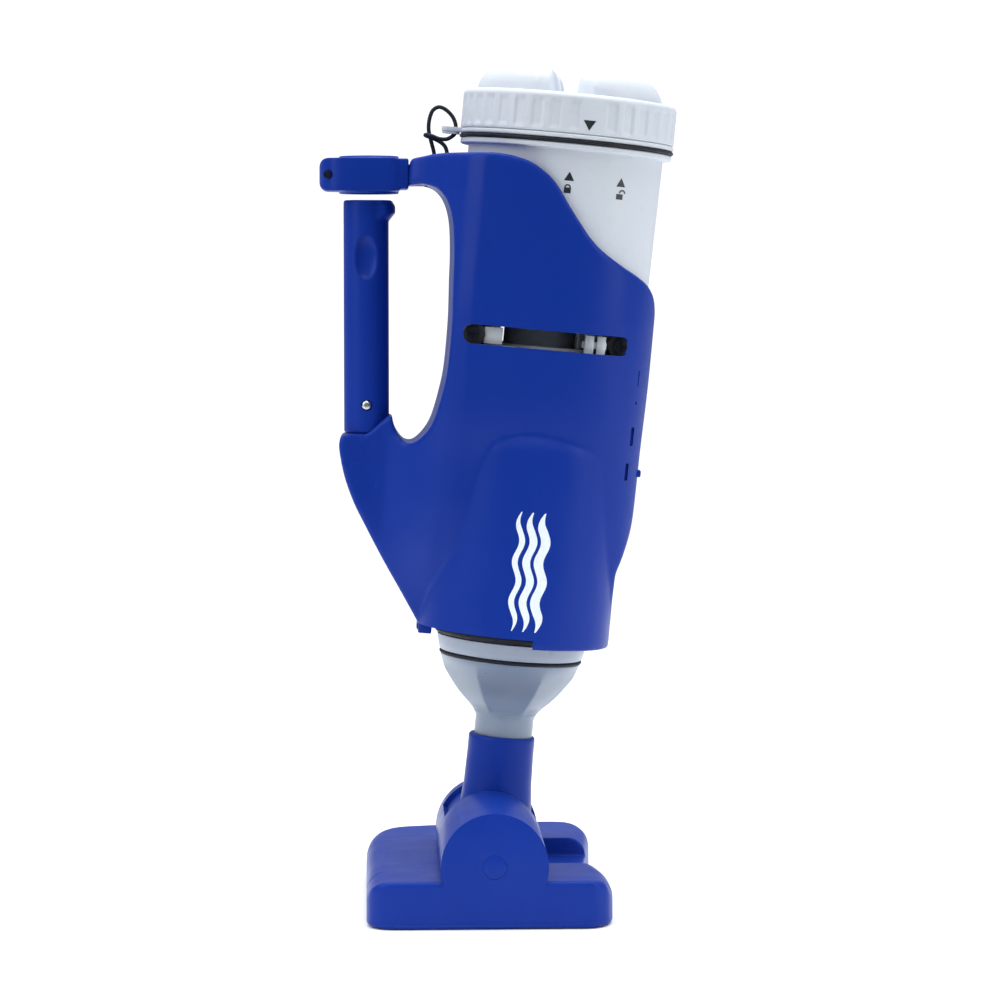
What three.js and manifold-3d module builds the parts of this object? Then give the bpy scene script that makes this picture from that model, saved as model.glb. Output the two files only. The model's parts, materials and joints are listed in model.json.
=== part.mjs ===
// Hand-held battery pool vacuum standing on its swivelling vacuum head.
// Millimetres, +Z up. The head's sole rests on z = 0. The body leans to +X from the swivel axle,
// which lies along Y.
import * as THREE from 'three';
import { mergeVertices } from 'three/addons/utils/BufferGeometryUtils.js';
import Module from 'manifold-3d';

const wasm = await Module();
wasm.setup();

// ---------------------------------------------------------------- driving dimensions
const GAP = 0.3;                 // clearance between touching pieces
const BODY_LEAN = 5.2;           // degrees, body axis from vertical
const WALL = 2.6;                // moulded shell wall

// Heights along the body axis are measured from the swivel axle.
const NECK_TOP = 62.5;
const CONE_FOOT = 74;
const CONE_RIM = 108.8;
const COLLAR_FOOT = 111.4;
const COLLAR_TOP = 121;
const SKIRT_FOOT = 120.5;
const SKIRT_NOTCH = 126;
const HUMP_TOP = 246;
const SLOT_HEIGHT = 301.7;
const POD_FLOOR = 316;
const POD_FLANGE = 413;
const SEAL_HEIGHT = 417.6;
const CAP_FOOT = 422;
const CAP_DECK = 445;
const CAP_TOP = 461.5;

// Distances across the body from the swivel axle.
const AXIS_U = 3.4;              // neck, nose, filter, pump and motor
const POD_U = 8.9;               // battery pod and cap

const NECK_R = 20;
const NECK_BORE_R = 18;
const OUTLET_R = 17.6;
const COLLAR_R = 43;
const FILTER_R = 58;
const SHELL_R = 62;
const POD_R = 58;
const CAP_R = 63.6;

const SLOT_LEFT = -38.3;
const SLOT_RIGHT = 48.8;
const SLOT_R = 5.6;
const SCREW_BOSS_R = 7.2;
const SLOT_ENDS = [[SLOT_LEFT, 57], [SLOT_RIGHT, 43]];   // and how far out each screw is seated
const POST_R = 5;
const SCREW_HEAD_R = 3.9;

// The grip and the pole ring share an upright axis that starts at the socket rim.
const SOCKET_U = -94.4;
const SOCKET_HEIGHT = 236;
const GRIP_R = 13.45;
const GRIP_LENGTH = 138.6;
const GRIP_SPIGOT = 26;
const SPIGOT_R = 12;
const RING_BORE_R = 16.1;
const RING_R = 17.6;
const RING_SHIFT = 1.8;          // ring bore from the grip axis
const RING_FOOT = 142.2;
const RING_TOP = 164.7;
const RING_HALF_DEPTH = 19.5;
const BUTTON_HEIGHT = 17;
const BUTTON_R = 3;

// Vacuum head.
const AXLE_HEIGHT = 35.9;
const HEAD_LEFT = -73.5;
const HEAD_RIGHT = 69;
const HEAD_NEAR = -108;
const HEAD_FAR = 112;
const HEAD_TOP = 27.5;
const SOLE_THICK = 3.4;
const SADDLE_HEIGHT = 15.4;
const SADDLE_NEAR = -46;
const SADDLE_FAR = 42;
const DRUM_R = 30.9;
const DRUM_BORE_R = 28.4;
const DRUM_FAR = 36;
const AXLE_PLUG_R = 7;
const BARREL_R = 28;
const BARREL_HALF = 22.5;

const ROUND = 36;                // sides on a large round part
const SMALL_ROUND = 16;

// ---------------------------------------------------------------- materials
const paint = (color, roughness, metalness = 0) => () =>
  new THREE.MeshStandardMaterial({ color, roughness, metalness });
const blue = paint(0x1b3d9c, 0.35);
const grey = paint(0xd3d9e4, 0.4);
const ringGrey = paint(0xaeb6c6, 0.45);
const black = paint(0x15161a, 0.8);
const steel = paint(0x9aa0a8, 0.3, 1);
const mesh = paint(0xe8e8e4, 0.9);
const cellGreen = paint(0x3c7a4a, 0.5);
const darkGrey = paint(0x3a3d44, 0.6);
const clear = () => new THREE.MeshStandardMaterial({
  color: 0xb9c6da, roughness: 0.15, transparent: true, opacity: 0.45,
});

// ---------------------------------------------------------------- solid helpers
function solid(geometry) {
  const bare = geometry.clone();
  bare.deleteAttribute('normal');
  bare.deleteAttribute('uv');
  const merged = mergeVertices(bare, 1e-4);
  return new wasm.Manifold(new wasm.Mesh({
    numProp: 3,
    vertProperties: new Float32Array(merged.attributes.position.array),
    triVerts: new Uint32Array(merged.index.array),
  }));
}

function geometryOf(body) {
  const result = body.getMesh();
  const geometry = new THREE.BufferGeometry();
  const count = result.vertProperties.length / result.numProp;
  const position = new Float32Array(count * 3);
  for (let i = 0; i < count; i += 1) {
    for (let k = 0; k < 3; k += 1) {
      position[3 * i + k] = result.vertProperties[result.numProp * i + k];
    }
  }
  geometry.setAttribute('position', new THREE.BufferAttribute(position, 3));
  geometry.setIndex(new THREE.BufferAttribute(new Uint32Array(result.triVerts), 1));
  return geometry;
}

const join = (...parts) => parts.reduce((sum, part) => sum.add(part));
const cut = (body, ...tools) => tools.reduce((rest, tool) => rest.subtract(tool), body);
const points2 = (list) => list.map(([x, y]) => new THREE.Vector2(x, y));

// Flat outline extruded along Z between two heights.
function slabZ(outline, low, high) {
  const geometry = new THREE.ExtrudeGeometry(new THREE.Shape(outline), {
    depth: high - low, bevelEnabled: false,
  });
  return solid(geometry.translate(0, 0, low));
}

// Outline drawn in X and Z, extruded along Y.
function slabY(outline, near, far) {
  const geometry = new THREE.ExtrudeGeometry(new THREE.Shape(outline), {
    depth: far - near, bevelEnabled: false,
  });
  return solid(geometry.rotateX(Math.PI / 2).translate(0, far, 0));
}

// Outline drawn in Y and Z, extruded along X.
function slabX(outline, left, right) {
  const geometry = new THREE.ExtrudeGeometry(new THREE.Shape(outline), {
    depth: right - left, bevelEnabled: false,
  });
  const turn = new THREE.Matrix4().makeBasis(
    new THREE.Vector3(0, 1, 0),
    new THREE.Vector3(0, 0, 1),
    new THREE.Vector3(1, 0, 0),
  );
  return solid(geometry.applyMatrix4(turn).translate(left, 0, 0));
}

function block(x0, x1, y0, y1, z0, z1) {
  const geometry = new THREE.BoxGeometry(x1 - x0, y1 - y0, z1 - z0);
  return solid(geometry.translate((x0 + x1) / 2, (y0 + y1) / 2, (z0 + z1) / 2));
}

function postZ(radius, low, high, x = 0, y = 0, sides = SMALL_ROUND) {
  const geometry = new THREE.CylinderGeometry(radius, radius, high - low, sides);
  return solid(geometry.rotateX(Math.PI / 2).translate(x, y, (low + high) / 2));
}

function postY(radius, near, far, x = 0, z = 0, sides = SMALL_ROUND) {
  const geometry = new THREE.CylinderGeometry(radius, radius, far - near, sides);
  return solid(geometry.translate(x, (near + far) / 2, z));
}

// Profile of [radius, height] pairs turned about an upright axis.
function turned(profile, x = 0, y = 0, sides = ROUND) {
  const geometry = new THREE.LatheGeometry(points2(profile), sides);
  geometry.rotateX(Math.PI / 2);
  geometry.translate(x, y, 0);
  const body = solid(geometry);
  return body.volume() < 0 ? solid(flipped(geometry)) : body;
}

function flipped(geometry) {
  const index = geometry.index.array;
  for (let i = 0; i < index.length; i += 3) {
    [index[i], index[i + 1]] = [index[i + 1], index[i]];
  }
  return geometry;
}

const ringProfile = (inner, outer, low, high) =>
  [[inner, low], [outer, low], [outer, high], [inner, high], [inner, low]];

function roundedRect(x0, x1, y0, y1, radius, steps = 5) {
  const outline = [];
  const corners = [[x1, y0, -90], [x1, y1, 0], [x0, y1, 90], [x0, y0, 180]];
  for (const [cx, cy, start] of corners) {
    const ox = cx === x1 ? cx - radius : cx + radius;
    const oy = cy === y1 ? cy - radius : cy + radius;
    for (let i = 0; i <= steps; i += 1) {
      const angle = THREE.MathUtils.degToRad(start + 90 * i / steps);
      outline.push(new THREE.Vector2(ox + radius * Math.cos(angle), oy + radius * Math.sin(angle)));
    }
  }
  return outline;
}

function stadium(left, right, middle, radius) {
  return roundedRect(left - radius, right + radius, middle - radius, middle + radius, radius * 0.999);
}

// Outline moved inwards by a distance; points that would cross over are dropped.
function inset(outline, distance) {
  const count = outline.length;
  const side = THREE.ShapeUtils.area(outline) > 0 ? 1 : -1;
  const normals = outline.map((point, i) => {
    const along = outline[(i + 1) % count].clone().sub(point).normalize();
    return new THREE.Vector2(-along.y * side, along.x * side);
  });
  const moved = outline.map((point, i) => {
    const before = normals[(i + count - 1) % count];
    const middle = before.clone().add(normals[i]).normalize();
    const reach = distance / Math.max(middle.dot(before), 0.4);
    return point.clone().addScaledVector(middle, reach);
  });
  return moved.filter((point) => {
    for (let i = 0; i < count; i += 1) {
      if (segmentDistance(point, outline[i], outline[(i + 1) % count]) < distance * 0.98) {
        return false;
      }
    }
    return true;
  });
}

function segmentDistance(point, a, b) {
  const span = b.clone().sub(a);
  const t = THREE.MathUtils.clamp(point.clone().sub(a).dot(span) / span.lengthSq(), 0, 1);
  return point.distanceTo(a.clone().addScaledVector(span, t));
}

// ---------------------------------------------------------------- assembly frame
const model = new THREE.Group();
model.position.z = AXLE_HEIGHT;
const body = new THREE.Group();
body.rotation.y = THREE.MathUtils.degToRad(BODY_LEAN);
const handle = new THREE.Group();
handle.position.set(SOCKET_U, 0, SOCKET_HEIGHT);
handle.rotation.y = -THREE.MathUtils.degToRad(BODY_LEAN);
model.add(body);
body.add(handle);

function piece(name, shape, material, parent = body) {
  const geometry = shape.isBufferGeometry ? shape : geometryOf(shape);
  const node = new THREE.Mesh(geometry, material());
  node.name = name;
  parent.add(node);
}

// A solid drawn in the handle's frame, moved into the body's frame.
function fromHandle(shape) {
  handle.updateMatrix();
  return solid(geometryOf(shape).applyMatrix4(handle.matrix));
}

// ---------------------------------------------------------------- housing
function housingOutline() {
  const path = new THREE.Path();
  path.moveTo(-83, 384);
  path.lineTo(-83, 400.5);
  path.splineThru(points2([[-77, 402], [-66, 404.8], [-45, 406.5], [-30, 407], [-15.5, 404.4],
    [-6, 399.4], [2, 392.6], [10, 381.6], [17.5, 371.7], [25.5, 362.2], [33.6, 355.4],
    [46.5, 347.8], [56, 343], [63, 338.4], [68.3, 331], [71, 320]]));
  path.lineTo(71, 291);
  path.lineTo(68.8, 240);
  path.splineThru(points2([[68.2, 200], [65, 181], [60.5, 166]]));
  path.lineTo(60.5, SKIRT_FOOT + 8);
  path.lineTo(50, SKIRT_FOOT + 5.5);
  path.lineTo(-54, SKIRT_FOOT + 5.5);
  path.splineThru(points2([[-64.8, 142.3], [-78.7, 162.7], [-90, 180.5], [-98, 193.5],
    [-104.8, 208], [-109, 221.5], [-110.3, 229.7], [-108.4, 234.9]]));
  path.lineTo(-94, 236.2);
  path.lineTo(-80.6, 250.2);
  path.splineThru(points2([[-79, 243], [-76.5, 238.6], [-72.5, 234]]));
  path.splineThru(points2([[-66.5, 233.8], [-60, 240.6], [-55.9, 249.5], [-52.4, 267], [-51, 281],
    [-51, 308], [-52.4, 331], [-53.3, 347], [-55.6, 365.4], [-59.8, 377.3], [-66.6, 384.2],
    [-76, 386]]));
  const outline = path.getPoints(2);
  if (outline[0].distanceTo(outline[outline.length - 1]) < 0.01) {
    outline.pop();
  }
  return outline.filter((point, i) => i === 0 || point.distanceTo(outline[i - 1]) > 0.05);
}

// Seen from above: a half round about the pod on the right, narrowing to the arm on the left.
function planOutline() {
  const half = [];
  const spread = new THREE.SplineCurve(points2([[-112, RING_HALF_DEPTH], [-86, RING_HALF_DEPTH],
    [-76, 24], [-66, 34], [-58, 45], [-50, 55], [-40, 61]]));
  for (const point of spread.getPoints(9)) {
    half.push([point.x, point.y]);
  }
  half.push([-32, SHELL_R]);
  for (let angle = 90; angle >= 0; angle -= 10) {
    const turn = THREE.MathUtils.degToRad(angle);
    half.push([POD_U + SHELL_R * Math.cos(turn), SHELL_R * Math.sin(turn)]);
  }
  const other = half.slice(0, -1).map(([x, y]) => [x, -y]).reverse();
  return points2([...half, ...other]);
}

// Seen from the end: full depth round the pod, drawn in below the hump's top.
function depthOutline() {
  const side = [[SHELL_R, 420], [SHELL_R, 264], [57.2, 246], [52.6, 231], [50.4, 217],
    [48.3, 194], [40, 168], [21, 140], [11, 118]];
  return points2([...side, ...side.map(([y, z]) => [-y, z]).reverse()]);
}

function slabShape(depth) {
  const drawn = (outline) => (depth > 0 ? inset(outline, depth) : outline);
  const side = slabY(drawn(housingOutline()), -90, 90);
  const plan = slabZ(drawn(planOutline()), 100, 430);
  const end = slabX(drawn(depthOutline()), -140, 100);
  return side.intersect(plan).intersect(end);
}

const slab = slabShape(0);
const slabHollow = slabShape(WALL);

function podBore(clearance) {
  return turned([[0, POD_FLOOR - 4], [56.1 + clearance, POD_FLOOR - 4],
    [POD_R + clearance, POD_FLANGE - 8], [POD_R + clearance, 430], [0, 430]], POD_U);
}

function housingHalf(side) {
  const chamber = turned([[0, SKIRT_FOOT], [FILTER_R, SKIRT_FOOT], [FILTER_R, HUMP_TOP - 8],
    [FILTER_R - 2.4, HUMP_TOP - 2.4], [FILTER_R - 8, HUMP_TOP], [0, HUMP_TOP]], AXIS_U);
  const chamberBore = turned([[0, 90], [FILTER_R - WALL, 90], [FILTER_R - WALL, HUMP_TOP - 9],
    [FILTER_R - 10, HUMP_TOP - WALL], [0, HUMP_TOP - WALL]], AXIS_U);
  const inside = join(slabHollow, chamberBore);

  let shell = cut(join(slab, chamber), inside, podBore(0.9));
  const shelf = slabShape(WALL / 2).intersect(block(-50, 67, -62, 62, 254, 257));
  shell = shell.add(shelf.subtract(postZ(43, 250, 260, AXIS_U, 0, ROUND)));
  shell = shell.add(fromHandle(postZ(SPIGOT_R + 4, -GRIP_SPIGOT - 6, -2)).intersect(slab));
  for (const [u, seat] of SLOT_ENDS) {
    const inward = u - 13 * Math.sign(u);
    const pocket = stadium(Math.min(u, inward), Math.max(u, inward), SLOT_HEIGHT, SLOT_R);
    shell = shell.add(postY(SCREW_BOSS_R, -70, 70, u, SLOT_HEIGHT).intersect(slab));
    shell = cut(
      shell,
      slabY(pocket, -75, -seat),
      slabY(pocket, seat, 75),
      postY(2.3, -60, 14, u, SLOT_HEIGHT, 12),
    );
  }

  shell = cut(
    shell,
    slabY(stadium(SLOT_LEFT + 13, SLOT_RIGHT - 13, SLOT_HEIGHT, SLOT_R), -75, 75),
    fromHandle(postZ(GRIP_R + GAP, 0, 40, 0, 0, 24)),
    fromHandle(postZ(SPIGOT_R + GAP, -GRIP_SPIGOT - 1, 40, 0, 0, 24)),
    fromHandle(block(18, 40, -12.3, 12.3, 146.7, 159.8)),
    postZ(1.6, 395, 410, -68.9, -6, 10),
    postZ(1.6, 395, 410, -61.2, -6, 10),
  );
  if (side < 0) {
    shell = cut(shell, block(-80, 13, -80, 0, 100, SKIRT_NOTCH));
    return shell.intersect(block(-150, 100, -100, -GAP / 2, 90, 440));
  }
  return shell.intersect(block(-150, 100, GAP / 2, 100, 90, 440));
}

function slotScrew([u, seat]) {
  const head = postY(SCREW_HEAD_R, -seat - 3, -seat - GAP, u, SLOT_HEIGHT, 16);
  const shank = postY(1.8, -seat - 1, 12, u, SLOT_HEIGHT, 10);
  const drive = join(
    block(u - 2.4, u + 2.4, -seat - 4, -seat - 1.8, SLOT_HEIGHT - 0.5, SLOT_HEIGHT + 0.5),
    block(u - 0.5, u + 0.5, -seat - 4, -seat - 1.8, SLOT_HEIGHT - 2.4, SLOT_HEIGHT + 2.4),
  );
  return cut(join(head, shank), drive);
}

piece('housing_front', housingHalf(-1), blue);
piece('housing_back', housingHalf(1), blue);
piece('slot_screw_left', slotScrew(SLOT_ENDS[0]), steel);
piece('slot_screw_right', slotScrew(SLOT_ENDS[1]), steel);

// ---------------------------------------------------------------- pole ring and grip
function poleRing() {
  const middle = (RING_FOOT + RING_TOP) / 2;
  const bar = slabY(roundedRect(-27.6, 22.4, middle - 9.8, middle + 9.8, 5), -40, 40)
    .intersect(slabZ(roundedRect(-27.6, 30, -RING_HALF_DEPTH, RING_HALF_DEPTH, 16, 8), 130, 180));
  const collar = postZ(RING_R, RING_FOOT, RING_TOP, RING_SHIFT, 0, 28);
  const tongue = block(15, 35, -12, 12, 147, 159.5);
  return cut(
    join(bar, collar, tongue),
    postZ(RING_BORE_R, 130, 180, RING_SHIFT, 0, 28),
    postY(2.6, -30, -15.4, -22.8, middle, 14),
    postY(1.9, -30, 8, -22.8, middle, 10),
  );
}

function ringScrew() {
  const middle = (RING_FOOT + RING_TOP) / 2;
  const head = postY(2.3, -17, -15.7, -22.8, middle, 14);
  return join(head, postY(1.5, -16, 6, -22.8, middle, 10));
}

// Tube that drops through the ring bore, with a finger stop at its top.
function gripBody() {
  const stop = turned([[0, 124], [10, 124], [15.6, 131], [15.6, 135], [13.4, GRIP_LENGTH],
    [0, GRIP_LENGTH]], RING_SHIFT, 0, 24);
  const rest = block(4, 20, -12, 12, 120, 140);
  const outer = join(
    postZ(GRIP_R, GAP, GRIP_LENGTH, 0, 0, 24),
    postZ(SPIGOT_R, -GRIP_SPIGOT, 2, 0, 0, 24),
    stop.intersect(rest),
  );
  const thumb = solid(new THREE.SphereGeometry(1, 20, 14).scale(7.6, 4, 13)
    .translate(0, -GRIP_R - 1.2, 104.4));
  return cut(
    outer,
    postZ(9.6, -40, 90, 0, 0, 24),
    postY(BUTTON_R + GAP, -20, 0, 0, BUTTON_HEIGHT, 16),
    thumb,
  );
}

function snapButton() {
  const cap = turned([[0, 0], [BUTTON_R, 0], [BUTTON_R, 5.4], [2.2, 6.6], [0, 7]], 0, 0, 16);
  const turn = new THREE.Matrix4().makeRotationX(Math.PI / 2)
    .setPosition(0, -7.6, BUTTON_HEIGHT);
  return solid(geometryOf(cap).applyMatrix4(turn));
}

function snapSpring() {
  const outline = points2([[-3.4, 22], [-2.6, 22.4], [0.8, -20], [6, -20], [8.2, 24], [9, 24],
    [7, -21], [0, -21]]);
  return slabX(outline, -3, 3);
}

piece('pole_ring', poleRing(), blue, handle);
piece('ring_screw', ringScrew(), steel, handle);
piece('handle_grip', gripBody(), blue, handle);
piece('snap_button', snapButton(), steel, handle);
piece('snap_spring', snapSpring(), steel, handle);

// ---------------------------------------------------------------- battery pod
function batteryPod() {
  const wall = 2.4;
  const outer = [[0, POD_FLOOR], [56.1, POD_FLOOR], [POD_R, POD_FLANGE - 8], [POD_R, POD_FLANGE],
    [CAP_R - 0.6, POD_FLANGE], [CAP_R - 0.6, POD_FLANGE + 3.2], [POD_R - 0.6, POD_FLANGE + 3.2],
    [POD_R - 0.6, 437], [55.6, 437], [55.6, POD_FLANGE - 6], [56.1 - wall, POD_FLOOR + wall],
    [0, POD_FLOOR + wall]];
  const tube = turned(outer, POD_U);
  const well = turned([[0, 291], [21.5, 291], [21.5, POD_FLOOR + 1], [0, POD_FLOOR + 1]],
    AXIS_U, 0, 24);
  const wellBore = turned([[0, 293.6], [19.2, 293.6], [19.2, POD_FLOOR + 6],
    [0, POD_FLOOR + 6]], AXIS_U, 0, 24);
  return cut(join(tube, well), wellBore, postZ(5, 285, 300, AXIS_U, 0, 16));
}

function batteryCradle() {
  let plate = postZ(52.5, 352, 355, POD_U, 0, 32);
  plate = cut(plate, postZ(3.2, 350, 360, POD_U - 14, 0, 12));
  const socket = postZ(6.5, 354, 404, POD_U, 0, 16);
  return join(plate, socket);
}

const CELL_R = 11.3;
const CELL_RING = 33;
const CELL_COUNT = 6;

piece('battery_pod', batteryPod(), grey);
piece('battery_cradle', batteryCradle(), darkGrey);
for (let i = 0; i < CELL_COUNT; i += 1) {
  const angle = 2 * Math.PI * i / CELL_COUNT;
  const x = POD_U + CELL_RING * Math.cos(angle);
  const y = CELL_RING * Math.sin(angle);
  piece(`battery_cell_${i + 1}`, postZ(CELL_R, 355.3, 398.3, x, y, 18), cellGreen);
}
piece('charge_socket', turned(ringProfile(2.6, 5.4, 404.3, 413), POD_U, 0, 16), black);

// ---------------------------------------------------------------- motor and pump
function motor() {
  return turned([[0, 294], [5, 294], [5, 296], [18.4, 296], [18.4, 340], [14, 344], [0, 344]],
    AXIS_U, 0, 28).subtract(postZ(2.6, 290, 310, AXIS_U, 0, 12));
}

function impeller() {
  const hub = turned([[0, 269], [8, 269], [5.5, 286], [0, 286]], AXIS_U, 0, 16);
  const disc = postZ(27, 283, 285.5, AXIS_U, 0, 28);
  let wheel = join(hub, disc);
  for (let i = 0; i < 6; i += 1) {
    const vane = new THREE.BoxGeometry(20, 1.8, 13.5);
    vane.translate(16, 0, 277).rotateZ(Math.PI * i / 3).translate(AXIS_U, 0, 0);
    wheel = wheel.add(solid(vane));
  }
  return wheel.subtract(postZ(2 + GAP, 260, 300, AXIS_U, 0, 12));
}

// Two plates held apart by four posts; water leaves between the posts to the slots.
function pumpHousing() {
  const room = slabShape(WALL + 0.5);
  const lower = cut(postZ(50.5, 257.3, 260.3, AXIS_U, 0, ROUND), postZ(16, 250, 265, AXIS_U));
  const upper = cut(postZ(46, 294, 297.4, AXIS_U, 0, ROUND),
    postZ(22.2, 290, 300, AXIS_U, 0, 24));
  let frame = join(lower, upper);
  for (const [x, y] of [[-1, -1], [1, -1], [1, 1], [-1, 1]]) {
    frame = frame.add(postZ(POST_R, 258, POD_FLOOR - GAP, AXIS_U + 30 * x, 36 * y, 16));
  }
  for (const u of [SLOT_LEFT, SLOT_RIGHT]) {
    frame = frame.subtract(postY(SCREW_BOSS_R + GAP, -60, 60, u, SLOT_HEIGHT));
  }
  return frame.intersect(room);
}

piece('motor', motor(), steel);
piece('motor_shaft', postZ(2, 262, 309, AXIS_U, 0, 12), steel);
piece('shaft_seal', turned(ringProfile(2.4, 4.6, 290.6, 293.3), AXIS_U, 0, 16), black);
piece('impeller', impeller(), black);
piece('pump_housing', pumpHousing(), grey);

// ---------------------------------------------------------------- filter and nose
function filterFrame() {
  const foot = turned(ringProfile(36.4, 42.4, 130.4, 133.4), AXIS_U, 0, 24);
  const head = turned(ringProfile(30, 39, 232, 235), AXIS_U, 0, 24);
  let frame = join(foot, head);
  for (let i = 0; i < 6; i += 1) {
    const angle = Math.PI * i / 3 + 0.26;
    frame = frame.add(postZ(1.8, 131, 234, AXIS_U + 37.6 * Math.cos(angle),
      37.6 * Math.sin(angle), 6));
  }
  return frame;
}

function filterBag() {
  return turned([[43, 131], [46, 131], [47.4, 160], [47, 210], [44, 232], [34, 241], [0, 243],
    [0, 242], [33.6, 240], [43, 231.4], [46, 210], [46.4, 160], [45, 135], [43, 135],
    [43, 131]], AXIS_U, 0, 24);
}

const FLAP_HEIGHT = 91;
const FLAP_HINGE_U = AXIS_U - 24;

// Bowl with a straight outlet tube that plugs into the neck, and a seat for the flap.
const CONE_PROFILE = [[OUTLET_R, CONE_FOOT], [21.2, 78.6], [28.6, 86], [35, 94.6], [38.6, 99],
  [42.2, CONE_RIM]];

function noseCone() {
  const wall = 1.9;
  const outer = [[OUTLET_R, 46.5], ...CONE_PROFILE];
  const inner = CONE_PROFILE.map(([r, z]) => [r - wall, z + 0.5]).reverse();
  inner[0] = [COLLAR_R - 5.4, CONE_RIM + 9];
  const lip = [[COLLAR_R - 3.4, CONE_RIM], [COLLAR_R - 3.4, CONE_RIM + 9]];
  let cone = turned([...outer, ...lip, ...inner, [OUTLET_R - wall, 46.5], [OUTLET_R, 46.5]],
    AXIS_U);
  cone = cone.add(turned(ringProfile(21.5, 29.6, FLAP_HEIGHT - 2.6, FLAP_HEIGHT - GAP), AXIS_U));
  for (const y of [-9.6, 7.6]) {
    cone = cone.add(block(FLAP_HINGE_U - 2.4, FLAP_HINGE_U + 2, y, y + 2, FLAP_HEIGHT - 2,
      FLAP_HEIGHT + 4.8));
  }
  return cone.subtract(postY(0.9 + GAP, -12, 12, FLAP_HINGE_U, FLAP_HEIGHT + 2.4, 10));
}

function noseCollar() {
  return turned([[COLLAR_R - 3, COLLAR_FOOT], [COLLAR_R, COLLAR_FOOT], [COLLAR_R + 2.2, COLLAR_TOP],
    [COLLAR_R - 0.6, COLLAR_TOP], [COLLAR_R - 0.6, 127], [FILTER_R - WALL - 0.7, 127],
    [FILTER_R - WALL - 0.7, 130], [COLLAR_R - 7.6, 130], [COLLAR_R - 7.6, 119],
    [COLLAR_R - 3, 119], [COLLAR_R - 3, COLLAR_FOOT]], AXIS_U);
}

function flapValve() {
  const disc = turned([[0, FLAP_HEIGHT], [25, FLAP_HEIGHT], [25, FLAP_HEIGHT + 1.4],
    [0, FLAP_HEIGHT + 1.4]], AXIS_U, 0, 28);
  const knuckle = postY(2, -7, 7, FLAP_HINGE_U, FLAP_HEIGHT + 2.4, 12);
  const web = block(FLAP_HINGE_U, FLAP_HINGE_U + 5, -7, 7, FLAP_HEIGHT, FLAP_HEIGHT + 2.4);
  return cut(
    join(disc, knuckle, web).intersect(block(FLAP_HINGE_U - 2, 60, -40, 40, 80, 110)),
    postY(0.9 + GAP, -10, 10, FLAP_HINGE_U, FLAP_HEIGHT + 2.4, 10),
    block(FLAP_HINGE_U - 4, FLAP_HINGE_U + 3, 7.3, 20, 80, 110),
    block(FLAP_HINGE_U - 4, FLAP_HINGE_U + 3, -20, -7.3, 80, 110),
  );
}

piece('filter_frame', filterFrame(), ringGrey);
piece('filter_bag', filterBag(), mesh);
piece('nose_cone', noseCone(), clear);
piece('nose_collar', noseCollar(), ringGrey);
piece('nose_o_ring', turned(ringProfile(COLLAR_R - 3, COLLAR_R - 0.1, CONE_RIM + GAP,
  COLLAR_FOOT - GAP), AXIS_U), black);
piece('collar_gasket', turned(ringProfile(COLLAR_R - 0.3, COLLAR_R + 4, COLLAR_TOP + GAP,
  127 - GAP), AXIS_U), black);
piece('flap_valve', flapValve(), black);
piece('flap_pin', postY(0.9, -9, 9, FLAP_HINGE_U, FLAP_HEIGHT + 2.4, 10), steel);

// ---------------------------------------------------------------- neck and its barrel
function neck() {
  const tube = turned([[0, 6], [22.4, 10], [NECK_R + 1, 20], [NECK_R + 0.3, 32], [NECK_R, NECK_TOP],
    [0, NECK_TOP]], AXIS_U * 0.8, 0, 32);
  const lump = tube.intersect(block(-40, 40, -BARREL_HALF, BARREL_HALF, 0, 80));
  const barrel = postY(BARREL_R, -BARREL_HALF, BARREL_HALF, 0, 0, ROUND);
  const stubs = postY(7.6, -BARREL_HALF - 5, BARREL_HALF + 5, 0, 0, 20);
  return cut(
    join(lump, barrel, stubs),
    turned([[0, 46.2], [NECK_BORE_R, 46.2], [NECK_BORE_R, 90], [0, 90]], AXIS_U, 0, 32),
    postZ(15.2, -40, 60, AXIS_U * 0.8, 0, 32),
  );
}

piece('neck', neck(), blue);

// ---------------------------------------------------------------- vacuum head
const head = new THREE.Group();
head.position.z = -AXLE_HEIGHT;
model.add(head);

// Seen from above: a square near end, a waist beside the axle and a far end rounded off to the left.
function headPlan() {
  const path = new THREE.Path();
  path.moveTo(HEAD_LEFT, -92);
  path.splineThru(points2([[-69, -103.4], [-57.5, HEAD_NEAR]]));
  path.lineTo(51, HEAD_NEAR);
  path.splineThru(points2([[60, -105.5], [66.5, -98], [HEAD_RIGHT, -86], [67.8, -64], [64, -40],
    [60.5, -15], [59, 8], [60.3, 32], [63.5, 55], [66, 78], [65.2, 94], [60.5, 105], [51, 111],
    [35, HEAD_FAR], [10, 109], [-20, 104], [-45, 99], [-58, 94], [-67, 84], [-71.5, 70],
    [-73.2, 50], [HEAD_LEFT, 30]]));
  const outline = path.getPoints(2);
  return outline.filter((point, i) => i === 0 || point.distanceTo(outline[i - 1]) > 0.05);
}

// One smooth crowned block: the plan met by a rounded end view and side view.
function headBlock() {
  const plan = slabZ(headPlan(), SOLE_THICK + GAP, HEAD_TOP);
  const endView = slabY(roundedRect(HEAD_LEFT, HEAD_RIGHT, -30, HEAD_TOP, 13, 6),
    HEAD_NEAR, HEAD_FAR);
  const sideView = slabX(roundedRect(HEAD_NEAR - 20, HEAD_FAR, -30, HEAD_TOP, 9, 5),
    HEAD_LEFT, HEAD_RIGHT);
  return plan.intersect(endView).intersect(sideView);
}

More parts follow.
